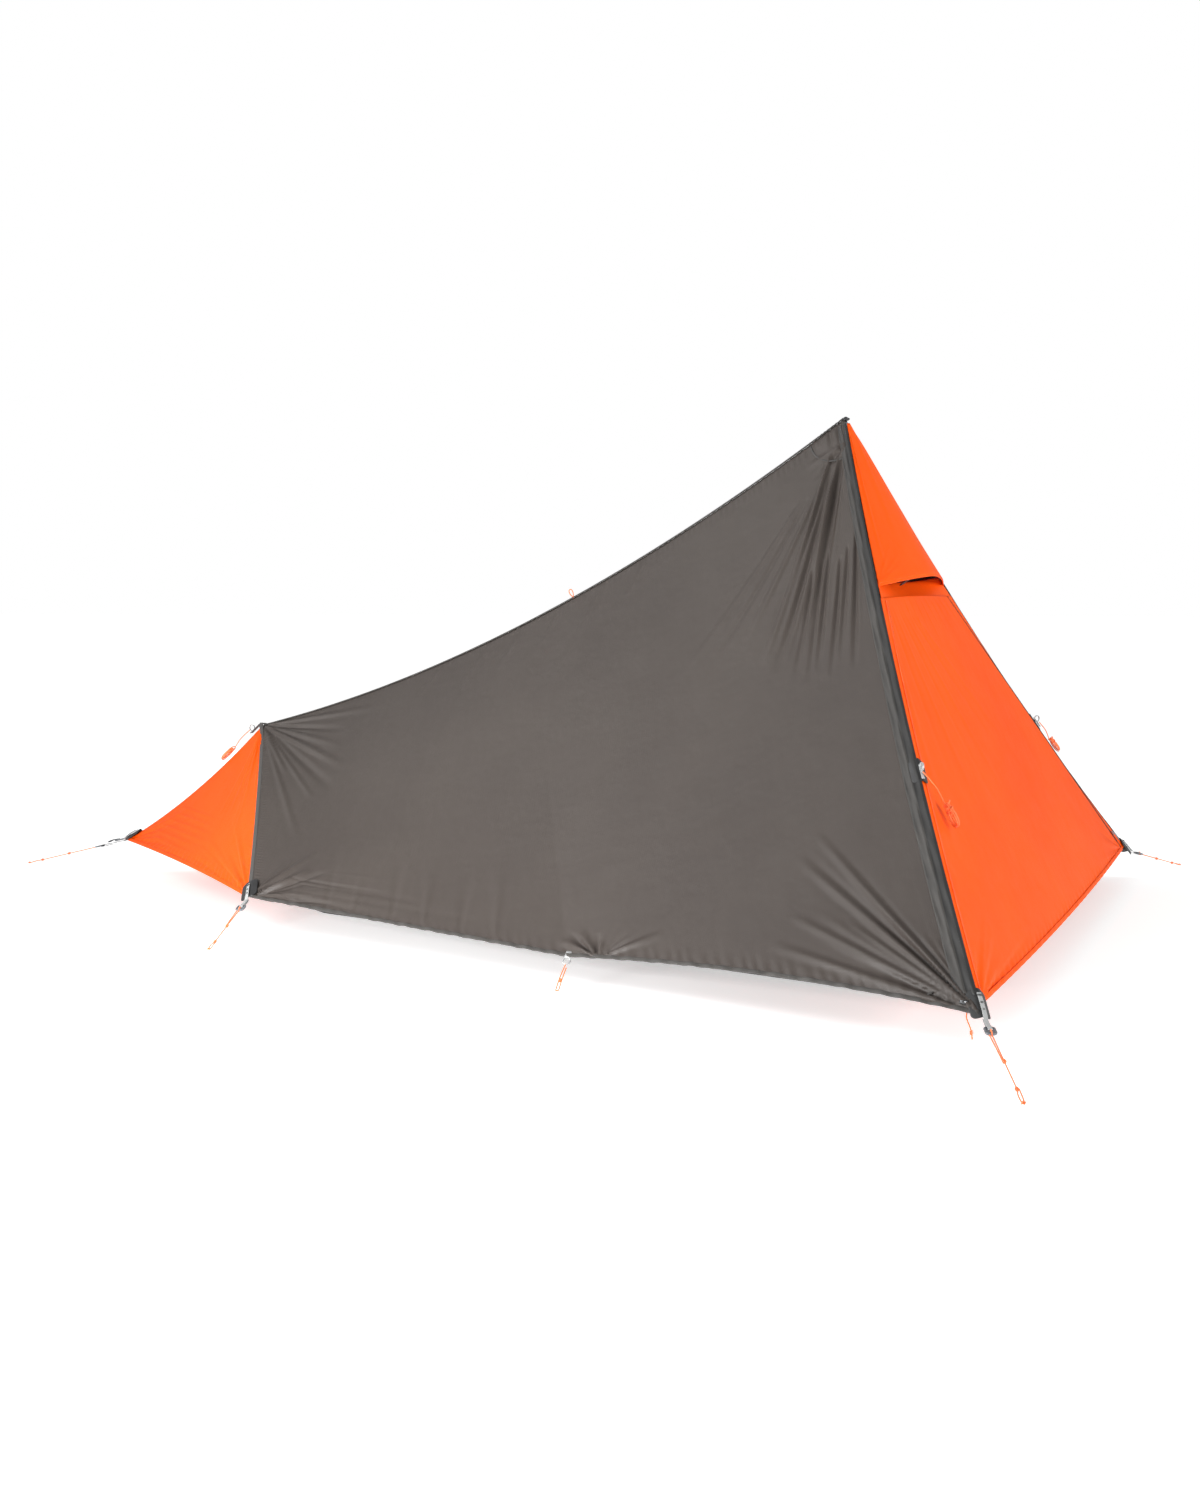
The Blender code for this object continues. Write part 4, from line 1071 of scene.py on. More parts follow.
def door_surface():
    """The door's cloth, from the near front edge to the zip."""
    near_edge = part_of(front_edge(-1.0), DOOR_TOP - 0.005, CLOTH_BOTTOM)
    line = cloth_zip_line()
    return coons(sagging(near_edge(0.0), line(0.0), (0, 0, 0.004)), door_hem(), near_edge, line)


def follow_door(made):
    """Bakes the piece's placement into its mesh."""
    middle = front_edge(-1.0)(0.66)
    inward = unit(np.cross(door_normal(), unit(hinge_line()(1.0) - hinge_line()(0.0))))
    inward = inward * np.sign(inward[1])
    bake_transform(made)


def build_door(tent):
    """The door with its folded hem, and the piping and stitching beside its near edge; the piping's
    paler colour is a painted highlight.
    """
    finish = finishes(tent)
    rng = np.random.default_rng(31)
    surface = door_surface()
    specs = []
    for number in range(7):
        start = (0.03 + 0.05 * number, 0.03)
        end = (0.08 + 0.10 * number, 0.62 + rng.uniform(-0.08, 0.16))
        specs.append((start, end, 0.010, 0.028, 0.0015 * (-1) ** number))
    specs += fan(rng, (0.0, 1.0), (0.25, 0.97), (0.06, 0.80), 6, (0.6, 1.2), 0.010, 0.0022)
    specs += fan(rng, (1.0, 1.0), (0.75, 0.97), (0.94, 0.80), 6, (0.6, 1.2), 0.010, 0.0020)
    for number in range(9):
        start = (0.30 + 0.075 * number, 0.004)
        specs.append((start, (start[0] + 0.02, 0.10 + rng.uniform(0, 0.06)), 0.004, 0.010, 0.0012))

    def displace(u, v, points):
        height = creases(surface, points, specs)
        width = 0.35 + 1.5 * v
        height += ripples(u * width, v * 1.0, 0.021, 0.0005, 0.018, rng)
        height += ripples((1 - v), u * width, 0.040, 0.0014, 0.020, rng)
        near_seam = (u * width - 0.024) / 0.0030
        height += 0.0012 * np.exp(-near_seam ** 2)
        return height * inside(u, v, width, 1.0, 0.008)

    fabric = cloth("door_cloth", surface, 210, 260, (1, 0, 0.4), finish["orange"], displace,
                   ((0.0, 0.9965), (0.0, 0.999)), body=None, replaces="door_panel")
    follow_door(fabric)
    t = np.linspace(0.006, 0.994, 160)
    path = door_hem()(t) + Z * 0.004 + door_normal() * (0.0006 * np.sin(t * 200))[:, None]
    folded = piece("door_hem_fold", sweep(path, unit(np.cross(Y, door_normal())),
                                          bar(0.010, 0.0026, 0.45)),
                   finish["orange"], None)
    flat_strip_map(folded)
    follow_door(folded)
    t = np.linspace(0.01, 0.985, 300)
    inset = 0.019 / (0.35 + 1.5 * t)
    seam = surface(inset, t) + door_normal() * 0.0012
    # the piping's paler colour is a painted highlight
    piping = piece("door_piping", strand(seam, 0.0016, 8), finish["piping"], "door")
    row = piece("door_stitching", stitches(surface(inset * 1.45, t) + door_normal() * 0.0010,
                                           Y, *DOOR_STITCH),
                finish["thread"], "door")


def build_far_band(tent):
    """The strip of front cloth between the zip and the far edge of the canopy."""
    finish = finishes(tent)
    rng = np.random.default_rng(41)
    line, far_edge = cloth_zip_line(), part_of(front_edge(1.0), DOOR_TOP - 0.005, CLOTH_BOTTOM)
    surface = coons(sagging(line(0.0), far_edge(0.0)), sagging(line(1.0), far_edge(1.0)),
                    line, far_edge)

    def displace(u, v, points):
        height = ripples(u * 0.045, v, 0.018, 0.0006, 0.016, rng)
        return height * np.clip(np.minimum(u, 1 - u) / 0.1, 0, 1)

    cloth("far_band_cloth", surface, 200, 14, (1, 0, 0.4), finish["orange"], displace,
          ((0.11, 0.97), (0.0, 1.0)), replaces="far_door_band")
    t = np.linspace(0.01, 0.99, 200)
    piece("far_band_stitching", stitches(surface(np.full_like(t, 0.82), t) + door_normal() * 0.001,
                                         Y, *DOOR_STITCH),
          finish["thread"])


def build_vent(tent):
    """The hood over the door, the sill behind its mouth and the netting inside."""
    finish = finishes(tent)
    rng = np.random.default_rng(51)
    near_edge, far_edge = front_edge(-1.0), front_edge(1.0)
    top = sagging(near_edge(HOOD_TOP * 0.25), far_edge(HOOD_TOP * 0.25), (0.003, 0, 0.001))
    brow = peaked_brow()
    surface = coons(top, brow, part_of(near_edge, HOOD_TOP * 0.25, BROW),
                    part_of(far_edge, HOOD_TOP * 0.25, BROW))
    specs = [((0.06, 0.05), (0.085, 0.97), 0.004, 0.010, 0.0032),
             ((0.94, 0.05), (0.90, 0.97), 0.004, 0.012, 0.0032),
             ((0.40, 0.10), (0.30, 0.90), 0.010, 0.030, 0.0014),
             ((0.55, 0.16), (0.62, 0.92), 0.010, 0.030, -0.0016)]
    specs += fan(rng, (0.0, 1.0), (0.16, 0.70), (0.35, 0.95), 5, (0.6, 1.1), 0.006, 0.0016)

    def displace(u, v, points):
        width = 0.02 + 0.62 * v
        height = creases(surface, points, specs)
        height += ripples(u * width, v * 0.5, 0.020, 0.0006, 0.012, rng)
        edge = np.minimum(u, 1 - u) * width
        return height * np.clip(edge / 0.006, 0, 1)

    hood = cloth("hood_cloth", surface, 110, 120, (1, 0, 0.4), finish["orange"], displace,
                 ((0.006, 0.994), (0.0, 1.0)), replaces="vent_hood")
    t = np.linspace(0.01, 0.99, 80)
    folded = piece("hood_brow_fold", sweep(brow(t) - vec(0.002, 0, 0.001), unit(vec(0.35, 0, -0.9)),
                                           bar(0.010, 0.0026, 0.45)),
                   finish["orange"])
    flat_strip_map(folded)

    sill = coons(sagging(near_edge(0.306), far_edge(0.306), -0.030 * door_normal()),
                 sagging(near_edge(0.352), far_edge(0.352), (-0.002, 0, 0.003)),
                 part_of(near_edge, 0.306, 0.352), part_of(far_edge, 0.306, 0.352))
    cloth("vent_sill_cloth", sill, 16, 90, (1, 0, 0.4), finish["orange"], None,
          ((0.01, 0.99), (0.0, 1.0)))

    inward = -0.010 * door_normal()
    sides = [moved(part_of(edge, 0.10, 0.345), inward) for edge in (near_edge, far_edge)]
    net = coons(moved(sagging(near_edge(0.10), far_edge(0.10)), inward),
                moved(sagging(near_edge(0.345), far_edge(0.345), -0.032 * door_normal()),
                      inward), *sides)

    def sag(u, v, points):
        return -0.006 * np.sin(math.pi * u) * np.sin(math.pi * v)

    netting = cloth("vent_netting", net, 40, 60, (1, 0, 0.4), finish["netting"], sag,
                    ((0.02, 0.98), (0.0, 1.0)), replaces="vent_mesh", thickness=0.0004)


def peaked_brow():
    """The hood's lower edge: it rises to a soft crest half way across."""
    near_edge, far_edge = front_edge(-1.0), front_edge(1.0)
    start, end = near_edge(BROW), far_edge(BROW)

    def place(t):
        t = np.asarray(t, float)
        off = np.sqrt((2 * t - 1) ** 2 + 0.004)
        rise = np.clip(1.0 - off ** 1.5, 0, None) / (1 - 0.004 ** 0.75)
        base = start + (end - start) * t[..., None]
        return base + rise[..., None] * np.asarray(BROW_LIFT, float)
    return place


# ---------------------------------------------------------------- flaps, tapes and zip

def flap_line(side, share, lift):
    """A line down the outside of a side panel, share of the flap's width behind the door."""
    surface, (first, last) = side_surface(side), FLAP_SPAN

    def place(t):
        t = np.asarray(t, float)
        v = first + (last - first) * t
        width = FLAP_WIDTHS[0] + (FLAP_WIDTHS[1] - FLAP_WIDTHS[0]) * t
        row = np.linalg.norm(surface(np.full_like(v, 0.5), v) - surface(np.zeros_like(v), v),
                             axis=-1) * 2
        normals = np.array([side_normal(side, x) for x in np.atleast_1d(v)]).reshape(*v.shape, 3)
        return surface((0.0015 + share * width) / row, v) + normals * lift
    return place


# Across a storm flap: the share of its width behind the door, and how high it stands
FLAP_PROFILE = ((-0.06, 0.0022), (0.0, 0.0044), (0.06, 0.0054), (0.14, 0.0050), (0.30, 0.0042),
                (0.46, 0.0040), (0.52, 0.0052), (0.56, 0.0056), (0.62, 0.0046), (0.74, 0.0036),
                (0.86, 0.0036), (0.95, 0.0040), (1.0, 0.0034), (1.01, 0.0016))
# Flap columns in the darker copy of its cloth: painted shade from the door edge to the fold, and a
# painted shadow line along the back edge
SHADED_FLAP_COLUMNS = (0, 1, 2, 3, 4, 12)


def build_flaps(tent):
    """The storm flap down each front edge: a pale half, then a fold into a half in a darker copy of
    the cloth as painted shade, with a painted shadow line along its back edge.
    """
    finish = finishes(tent)
    for label, side in SIDES:
        t = np.linspace(0, 1, 260)
        lines = []
        normal = side_normal(side, 0.5)
        for number, (share, lift) in enumerate(FLAP_PROFILE):
            wander = 0.0005 * np.sin(t * 95 + number) + 0.0004 * np.sin(t * 41 + 2 * number)
            lines.append(flap_line(side, share, lift)(t) + normal * wander[:, None])
        points = np.stack(lines, 1)
        faces = grid_faces(len(t), len(FLAP_PROFILE))
        if side > 0:
            faces = faces[:, ::-1]
        # faces in the darker copy of the cloth are painted shade
        dark = np.isin(faces[:, 0] % len(FLAP_PROFILE), SHADED_FLAP_COLUMNS).astype(np.int32)
        made = piece(label + "_flap_cloth", (points, faces), [finish["flap"], finish["flap_painted_shade"]],
                     replaces=label + "_storm_flap")
        made.data.polygons.foreach_set("material_index", dark)
        thicken(made, 0.0008)
        for name, share, lift in (("front", 0.10, 0.0058), ("back", 0.93, 0.0046)):
            path = flap_line(side, share, lift)(t)
            piece(label + "_flap_stitching_" + name,
                  stitches(path, X + Z * normal[2], *FLAP_STITCH), finish["thread"])


def build_tapes(tent):
    """The tape over the ridge, the binding over the foot pole and the apex reinforcement."""
    finish = finishes(tent)
    t = np.linspace(0.004, 0.996, 420)
    path = ridge()(t)
    gather = np.exp(-(t / 0.045) ** 2)
    path = path + Z * (0.0008 + 0.0012 * gather * np.sin(t * 1500))[:, None]
    half = np.stack([bar(tent.ridge_tape_width / 2, 0.0030, 0.48)] * len(t))
    half = half * (1 + 0.14 * gather * np.sin(t * 1300))[:, None, None]
    piece("ridge_tape", sweep(path, Y, half), finish["tape"], replaces="ridge_binding")
    down = np.linspace(0.985, 0.02, 90)
    near = foot_seam(-1.0)(down)
    arch = [at(FOOT_APEX) + vec(0.002, y, 0.0045) for y in (-0.010, 0.0, 0.010)]
    path = route([*near[::6], *arch, *(near[::-1][::6] * vec(1, -1, 1))], 0.006, False)
    out = unit(np.stack([np.zeros(len(path)), np.sign(path[:, 1]) * 0.62
                         * np.minimum(1, np.abs(path[:, 1]) / 0.03),
                         np.full(len(path), 0.78)], -1))
    piece("foot_seam_tape", sweep(path, np.cross(out, unit(np.gradient(path, axis=0))),
                                  bar(0.011, 0.0036, 0.45)), finish["tape"],
          replaces="foot_seam_binding")
    cap = ((0.0100, 0.0036), (0.0100, 0.0050), (0.0088, 0.0064), (0.0056, 0.0074),
           (0.0030, 0.0092), (0.0018, 0.0098), (0.0002, 0.0100))
    piece("apex_grommet_cap", lathe(FRONT_POLE_X, [(0.0076, APEX_HEIGHT - 0.008),
          *[(r, h + APEX_HEIGHT - 0.009) for r, h in cap]]), finish["acetal"],
          replaces="apex_cap")


def build_ridge_loop(tent):
    """A small hanging loop of cord on the ridge."""
    place = ridge()(RIDGE_LOOP_AT)
    along = unit(ridge()(RIDGE_LOOP_AT + 0.01) - place)
    up = unit(above(along))
    angle = np.linspace(0, 2 * math.pi, 44, endpoint=False)
    loop = (place + up * 0.0130 + np.outer(-np.cos(angle) * 0.0105, up)
            + np.outer(np.sin(angle) * 0.0070 * (0.75 - 0.25 * np.cos(angle)), along)
            + np.outer(np.sin(angle) * 0.0012, Y))
    base = place + up * np.linspace(-0.001, 0.0042, 6)[:, None]
    piece("ridge_cord_loop", [strand(loop, 0.0012, 10, True), strand(base, 0.0022, 10)],
          finishes(tent)["cord"], replaces="ridge_loop")


def build_zip(tent):
    """The zip coil and its tapes; the slider and its pull keep the frame's own shapes."""
    finish = finishes(tent)
    line = cloth_zip_line()
    down = unit(line(1.0) - line(0.0))
    normal = door_normal()
    across = unit(np.cross(normal, down))
    t = np.linspace(0.003, 0.997, 160)
    tape = sweep(line(t) - normal * 0.0012, across, bar(0.0135, 0.0007, 0.4))
    piece("zip_tape", tape, finish["tape"], replaces="zip_chain", slot="black_plastic")
    length = np.linalg.norm(line(1.0) - line(0.0))
    turns = int(length / 0.0026)
    angle = np.linspace(0, 2 * math.pi * turns, turns * 7)
    coil = (line(0.003) + np.outer(np.linspace(0, length * 0.994, len(angle)), down)
            + np.outer(np.cos(angle) * 0.0021, across) + np.outer(np.sin(angle) * 0.00075, normal))
    piece("zip_coil", strand(coil, 0.00055, 5), finish["acetal"])
    for name in ("zip_slider", "zip_pull"):
        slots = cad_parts[name].data.materials
        slots.clear()
        slots.append(finish["zinc"][0])


# ---------------------------------------------------------------- fittings

def buckle(centre, across, outward, up):
    """A line lock: a rounded frame, a middle bar and a lip to pull it by."""
    width, length, height = LINE_LOCK
    outline = bar(width - 0.004, length - 0.004, 0.30, 6)
    path = (centre + np.outer(outline[:, 0], across) + np.outer(outline[:, 1], outward)
            + np.outer(np.cos(outline[:, 1] / length * math.pi) * 0.0006, up))
    parts = [sweep(path, np.broadcast_to(up, path.shape), bar(height * 0.62, 0.0042, 0.42), True)]
    span = np.linspace(-0.5, 0.5, 9)
    for shift, thick in ((0.0, 0.0042), (-0.26, 0.0022), (0.27, 0.0026)):
        row = (centre + outward * shift * length + np.outer(span * (width - 0.004), across)
               + np.outer(np.cos(span * math.pi) * 0.0008, up))
        parts.append(sweep(row, outward, bar(thick, height * 0.5, 0.42)))
    return parts


def loop_of_webbing(centre, along, up, width=0.0042, thick=0.0015):
    """A sewn loop of narrow webbing, standing in the plane of along and up."""
    angle = np.linspace(0, 2 * math.pi, 48, endpoint=False)
    path = (centre + np.outer(np.cos(angle) * RING_MAJOR, along)
            + np.outer(np.sin(angle) * RING_MAJOR, up))
    flat = unit(np.cross(along, up))
    return sweep(path, flat, bar(width, thick, 0.4), True)


def patch_shape(corner, edge_dir, first, second, normal, length=PATCH_LENGTH, half=0.025,
                lift=0.0056, low=-0.004):
    """A rounded patch folded over a crease: first and second are the two panels' directions."""
    rows, columns = 40, 25
    s = np.linspace(0, 1, rows)[:, None]
    w = np.linspace(-1, 1, columns)[None, :]
    ends = np.clip(np.minimum(s, 1 - s) / 0.16, 0, 1)
    width = half * np.sqrt(np.clip(1 - (1 - ends) ** 2, 0.0, 1)) * 0.62 + half * 0.38
    reach = np.abs(w) * width
    side = np.where(w[..., None] < 0, first, second)
    rounding = 0.0030 * np.exp(-(reach / 0.005) ** 2)
    points = (corner + (low + (length - low) * s)[..., None] * edge_dir + reach[..., None] * side
              + (lift - rounding * 0.5)[..., None] * normal)
    faces = grid_faces(rows, columns)
    if np.cross(points[0, 1] - points[0, 0], points[1, 0] - points[0, 0]) @ normal < 0:
        faces = faces[:, ::-1]
    return points, faces


def panel_directions(corner, edge_dir, hem_dirs):
    """The ways that two panels leave a crease square to it, and the outward normal between them."""
    made = [unit(hem_dir - (hem_dir @ edge_dir) * edge_dir) for hem_dir in hem_dirs]
    inward = vec(0, 0, 0.3) - corner
    normal = np.zeros(3)
    for hem_dir in hem_dirs:
        face = unit(np.cross(edge_dir, hem_dir))
        normal -= face * (1.0 if face @ inward > 0 else -1.0)
    return made, unit(normal)


def build_corners(tent):
    """At each staked corner: a patch over the crease, reflective webbing and a line lock."""
    finish = finishes(tent)
    for label, side, corner, anchor, lock_start, edge in staked_corners():
        if edge is None:
            continue
        across, outward, up = corner_axes(corner, anchor)
        front = label.endswith("front")
        edge_dir = unit(edge(0.95 if front else 0.90) - corner)
        other = vec(0, -side, 0) if front else unit(foot_hem(side)(0.90) - corner)
        hem_dirs = (unit(hem(side)(0.04 if front else 0.95) - corner), other)
        (first, second), normal = panel_directions(corner, edge_dir, hem_dirs)
        patch = patch_shape(corner, edge_dir, first, second, normal)
        thicken(piece(label + "_crease_patch", patch, finish["patch"],
                      replaces=label + "_patch"), 0.0016)
        lock = corner + outward * (lock_start + LINE_LOCK[1] / 2)
        slot_place = lock - outward * LINE_LOCK[1] * 0.14
        path = route([corner + edge_dir * 0.046 + normal * 0.0068,
                      corner + edge_dir * 0.030 + normal * 0.0076,
                      corner + edge_dir * 0.012 + normal * 0.0080,
                      corner + normal * 0.0062 + outward * 0.006,
                      corner + outward * 0.022 + up * 0.0022,
                      slot_place + up * 0.0036, slot_place + outward * 0.0022,
                      slot_place - up * 0.0036, corner + outward * 0.024 - up * 0.0026,
                      corner + outward * 0.010 - up * 0.0016], 0.0015)
        share = np.clip(((path - corner) @ outward + 0.004) / 0.020, 0, 1)[:, None]
        over = unit(np.cross(edge_dir, normal))
        over = over * np.sign(over @ across)
        piece(label + "_webbing_strap", sweep(path, over * (1 - share) + across * share,
                                              bar(0.0085, 0.0014, 0.4)),
              finish["webbing"], replaces=label + "_webbing")
        tacks = []
        for distance in (0.040, 0.024, 0.009):
            centre = corner + edge_dir * distance + normal * 0.0087
            for shift in (-0.0016, 0.0, 0.0016):
                ends = (centre + edge_dir * shift
                        + np.outer((-0.0046, -0.0015, 0.0015, 0.0046), over))
                ends = ends - np.outer((0.0012, 0, 0, 0.0012), normal)
                tacks.append(sweep(ends, edge_dir, bar(0.0009, 0.0010, 0.45)))
        piece(label + "_bar_tacks", tacks, finish["thread"], slot="silver_webbing")
        piece(label + "_buckle", buckle(lock, across, outward, up), finish["buckle"],
              replaces=label + "_line_lock")
        start = corner + outward * (lock_start + LINE_LOCK[1] + GAP)
        lacing = route([start + outward * 0.001, lock + outward * 0.009 + up * 0.0044,
                        lock + outward * 0.003 + up * 0.0050, lock + outward * 0.0045 - up * 0.002,
                        start + outward * 0.001 - up * 0.0022], 0.0012)
        piece(label + "_cord_lacing", strand(lacing, CORD * 0.46, 8), finish["cord"])


def build_foot_tip(tent):
    """The foot end: a patch, a strap with its sliding ladder lock and tail, and a line lock."""
    finish = finishes(tent)
    corner, anchor = at(FOOT_TIP), on_ground(TIP_ANCHOR)
    across, outward, up = corner_axes(corner, anchor)
    slope = unit(foot_ridge()(0.93) - corner)
    over = above(slope)
    lean = [unit(vec(0.15, s, -0.80)) for s in (-1.0, 1.0)]
    patch = patch_shape(corner, slope, *lean, over, 0.060, 0.019, 0.0095, 0.004)
    thicken(piece("foot_tip_crease_patch", patch, finish["patch"],
                  replaces="foot_tip_patch"), 0.0016)
    silver = route([corner + slope * 0.044 + over * 0.0116, corner + slope * 0.022 + over * 0.012,
                    corner + over * 0.0085 - slope * 0.003, corner + outward * 0.0045 + up * 0.002,
                    corner + outward * 0.0075 + up * 0.0002], 0.0015)
    piece("foot_tip_webbing", sweep(silver, Y, bar(0.0140, 0.0015, 0.4)), finish["webbing"])
    strap_end = corner + outward * (TIP_STRAP - 0.004)
    strap = route([corner + outward * 0.004 - up * 0.001, corner + outward * 0.034,
                   corner + outward * 0.062, strap_end + outward * 0.006 + up * 0.002,
                   strap_end + outward * 0.009, strap_end + outward * 0.006 - up * 0.0026,
                   corner + outward * 0.066 - up * 0.0034], 0.002)
    piece("foot_tip_strap_webbing", sweep(strap, Y, bar(0.0150, 0.0015, 0.4)),
          finish["dark_webbing"], replaces="foot_tip_strap", slot="silver_webbing")
    ladder = corner + outward * 0.030 + up * (0.0009 + GAP + LINE_LOCK[2] / 2)
    piece("foot_ladder_buckle", buckle(ladder, across, outward, up), finish["buckle"],
          "foot_ladder_body", replaces="foot_ladder_lock")
    tail = route([ladder + outward * 0.004 + up * 0.0030, ladder + outward * 0.018 + up * 0.0042,
                  ladder + outward * 0.030 + up * 0.0036, ladder + outward * 0.040 + up * 0.0012],
                 0.002)
    piece("foot_strap_tail", sweep(tail, Y, bar(0.0150, 0.0028, 0.4)), finish["dark_webbing"],
          "foot_ladder_body")
    lock = corner + outward * (TIP_STRAP + GAP + LINE_LOCK[1] / 2)
    piece("foot_tip_buckle", buckle(lock, across, outward, up), finish["buckle"],
          replaces="foot_tip_line_lock")


def build_loops(tent):
    """The sewn loops at the middle of each hem and above each stored guy line."""
    finish = finishes(tent)
    for label, side in SIDES:
        place = at(HEM_LOOP, side)
        across, outward, up = corner_axes(place, on_ground(HEM_ANCHOR, side))
        centre = place + outward * (RING_MAJOR + RING_MINOR + 0.002)
        parts = [loop_of_webbing(centre, across, outward, 0.0050, 0.0016)]
        tab = place + np.outer(np.linspace(-0.014, 0.004, 6), outward) + up * 0.0028
        parts.append(sweep(tab, across, bar(0.013, 0.0018, 0.4)))
        piece(label + "_hem_ring", parts, finish["webbing"], replaces=label + "_hem_loop")
    for label, _, centre, down, outward, *_ in stored_places():
        parts = [loop_of_webbing(centre, down, outward)]
        if label == "foot":
            tab = centre - outward * 0.0100 + np.outer(np.linspace(-0.030, 0.012, 8), down)
            piece("foot_tie_tab", sweep(tab, Y, bar(0.014, 0.0016, 0.4)), finish["dark_webbing"])
        else:
            side = -1.0 if label == "near" else 1.0
            edge = front_edge(side)
            corner = edge(TIE_OUT + 0.012)
            edge_dir = unit(edge(TIE_OUT - 0.04) - edge(TIE_OUT + 0.04))
            back = unit(side_surface(side)(0.02, TIE_OUT) - edge(TIE_OUT))
            (first, second), normal = panel_directions(corner, edge_dir,
                                                       (back, vec(0, -side, 0)))
            patch = patch_shape(corner, edge_dir, first, second, normal, 0.050, 0.024, 0.0062,
                                -0.008)
            thicken(piece(label + "_tie_patch", patch, finish["patch"]), 0.0014)
            over = unit(np.cross(edge_dir, normal))
            strip = corner + np.outer(np.linspace(0.030, -0.006, 12), edge_dir) + normal * 0.0086
            parts.append(sweep(strip, over, bar(0.0062, 0.0014, 0.4)))
        piece(label + "_tie_ring", parts, finish["webbing"], replaces=label + "_tie_loop")


def build_toggle(tent):
    """The small toggle at the front end of the near hem, with its two metal studs."""
    finish = finishes(tent)
    place, back, outward = toggle_axes()
    centre = place + outward * 0.0062
    rise = unit(np.cross(outward, back))
    span = np.linspace(-1, 1, 15)
    path = centre + np.outer(span * 0.0082, back)
    scale = np.sqrt(np.clip(1.06 - span ** 2, 0.06, 1))
    body = bar(0.0092, 0.0062, 0.48, 4)[None] * (0.72 + 0.28 * scale)[:, None, None]
    parts = [(*sweep(path, rise, body), 0)]
    for shift in (-0.0042, 0.0042):
        stud = centre + back * shift + np.outer((0.0026, 0.0032, 0.0040), outward)
        parts.append((*strand(stud, [0.0016, 0.0016, 0.0009], 12), 1))
    piece("hem_toggle_body", parts, [finish["acetal"], finish["zinc"]], replaces="hem_toggle")


def build_prop(tent):
    """The stiff strut that holds the hood's brow up, sewn into a tape sleeve."""
    near_edge, far_edge = front_edge(-1.0), front_edge(1.0)
    share = 0.28
    foot = near_edge(0.324) * (1 - share) + far_edge(0.324) * share + 0.003 * door_normal()
    head = sagging(near_edge(BROW), far_edge(BROW), BROW_LIFT)(share) - vec(0.012, 0, 0.006)
    along = unit(head - foot)
    thick = unit(np.cross(along, Y))
    across = unit(np.cross(thick, along))
    length = float(np.linalg.norm(head - foot))
    path = foot + np.outer(np.linspace(0.0, 1.0, 12) * length, along)
    shape = bar(0.0172, 0.0030, 0.46, 4)
    ends = np.clip(np.sin(np.linspace(0.12, math.pi - 0.12, 12)) * 2.2, 0.55, 1)
    piece("hood_prop_strut", sweep(path, across, shape[None] * ends[:, None, None]),
          finishes(tent)["acetal"], "hood_prop_body", replaces="hood_prop", slot="charcoal_tape")


# ---------------------------------------------------------------- poles and floor

def build_poles(tent):
    """Both poles: rubber feet, and tubes that end in a thin peg through the canopy."""
    finish = finishes(tent)
    base = POLE_BASE + GAP
    joint = base + APEX_HEIGHT / 2
    foot_x = FRONT_POLE_X + FOOT_APEX[0]
    foot = ((0.0100, base), (0.0112, base + 0.001), (0.0114, base + 0.006), (0.0100, base + 0.011),
            (0.0086, base + 0.020), (0.0080, base + 0.022), (0.0064, base + 0.022))
    for name, x in (("front_pole", FRONT_POLE_X), ("foot_pole", foot_x)):
        piece(name + "_ferrule", lathe(x, [(0.0001, base), *foot]), finish["rubber"],
              replaces=name + "_foot")
    low = base + 0.0065

    def peg(head):
        return ((POLE_RADIUS, head), (0.0041, head + 0.001), (0.0036, head + 0.0115),
                (0.0026, head + 0.0125), (0.0001, head + 0.0126))

    lower = ((POLE_RADIUS, low), (POLE_RADIUS, joint - 0.0405), (POLE_RADIUS, joint - 0.001))
    upper = ((POLE_RADIUS + 0.0005, joint - 0.040), (POLE_RADIUS + 0.0015, joint - 0.0395),
             (POLE_RADIUS + 0.0015, joint - 0.002), (POLE_RADIUS, joint + 0.003),
             *peg(APEX_HEIGHT - 0.014))
    short = ((POLE_RADIUS, low), *peg(FOOT_APEX[2] - 0.014))
    for name, x, profile, node in (
            ("front_pole_tube_lower", FRONT_POLE_X, lower, "front_pole_lower"),
            ("front_pole_tube", FRONT_POLE_X, upper, "front_pole_upper"),
            ("foot_pole_tube", foot_x, short, "foot_pole")):
        piece(name, lathe(x, profile), finish["aluminium"], replaces=node)


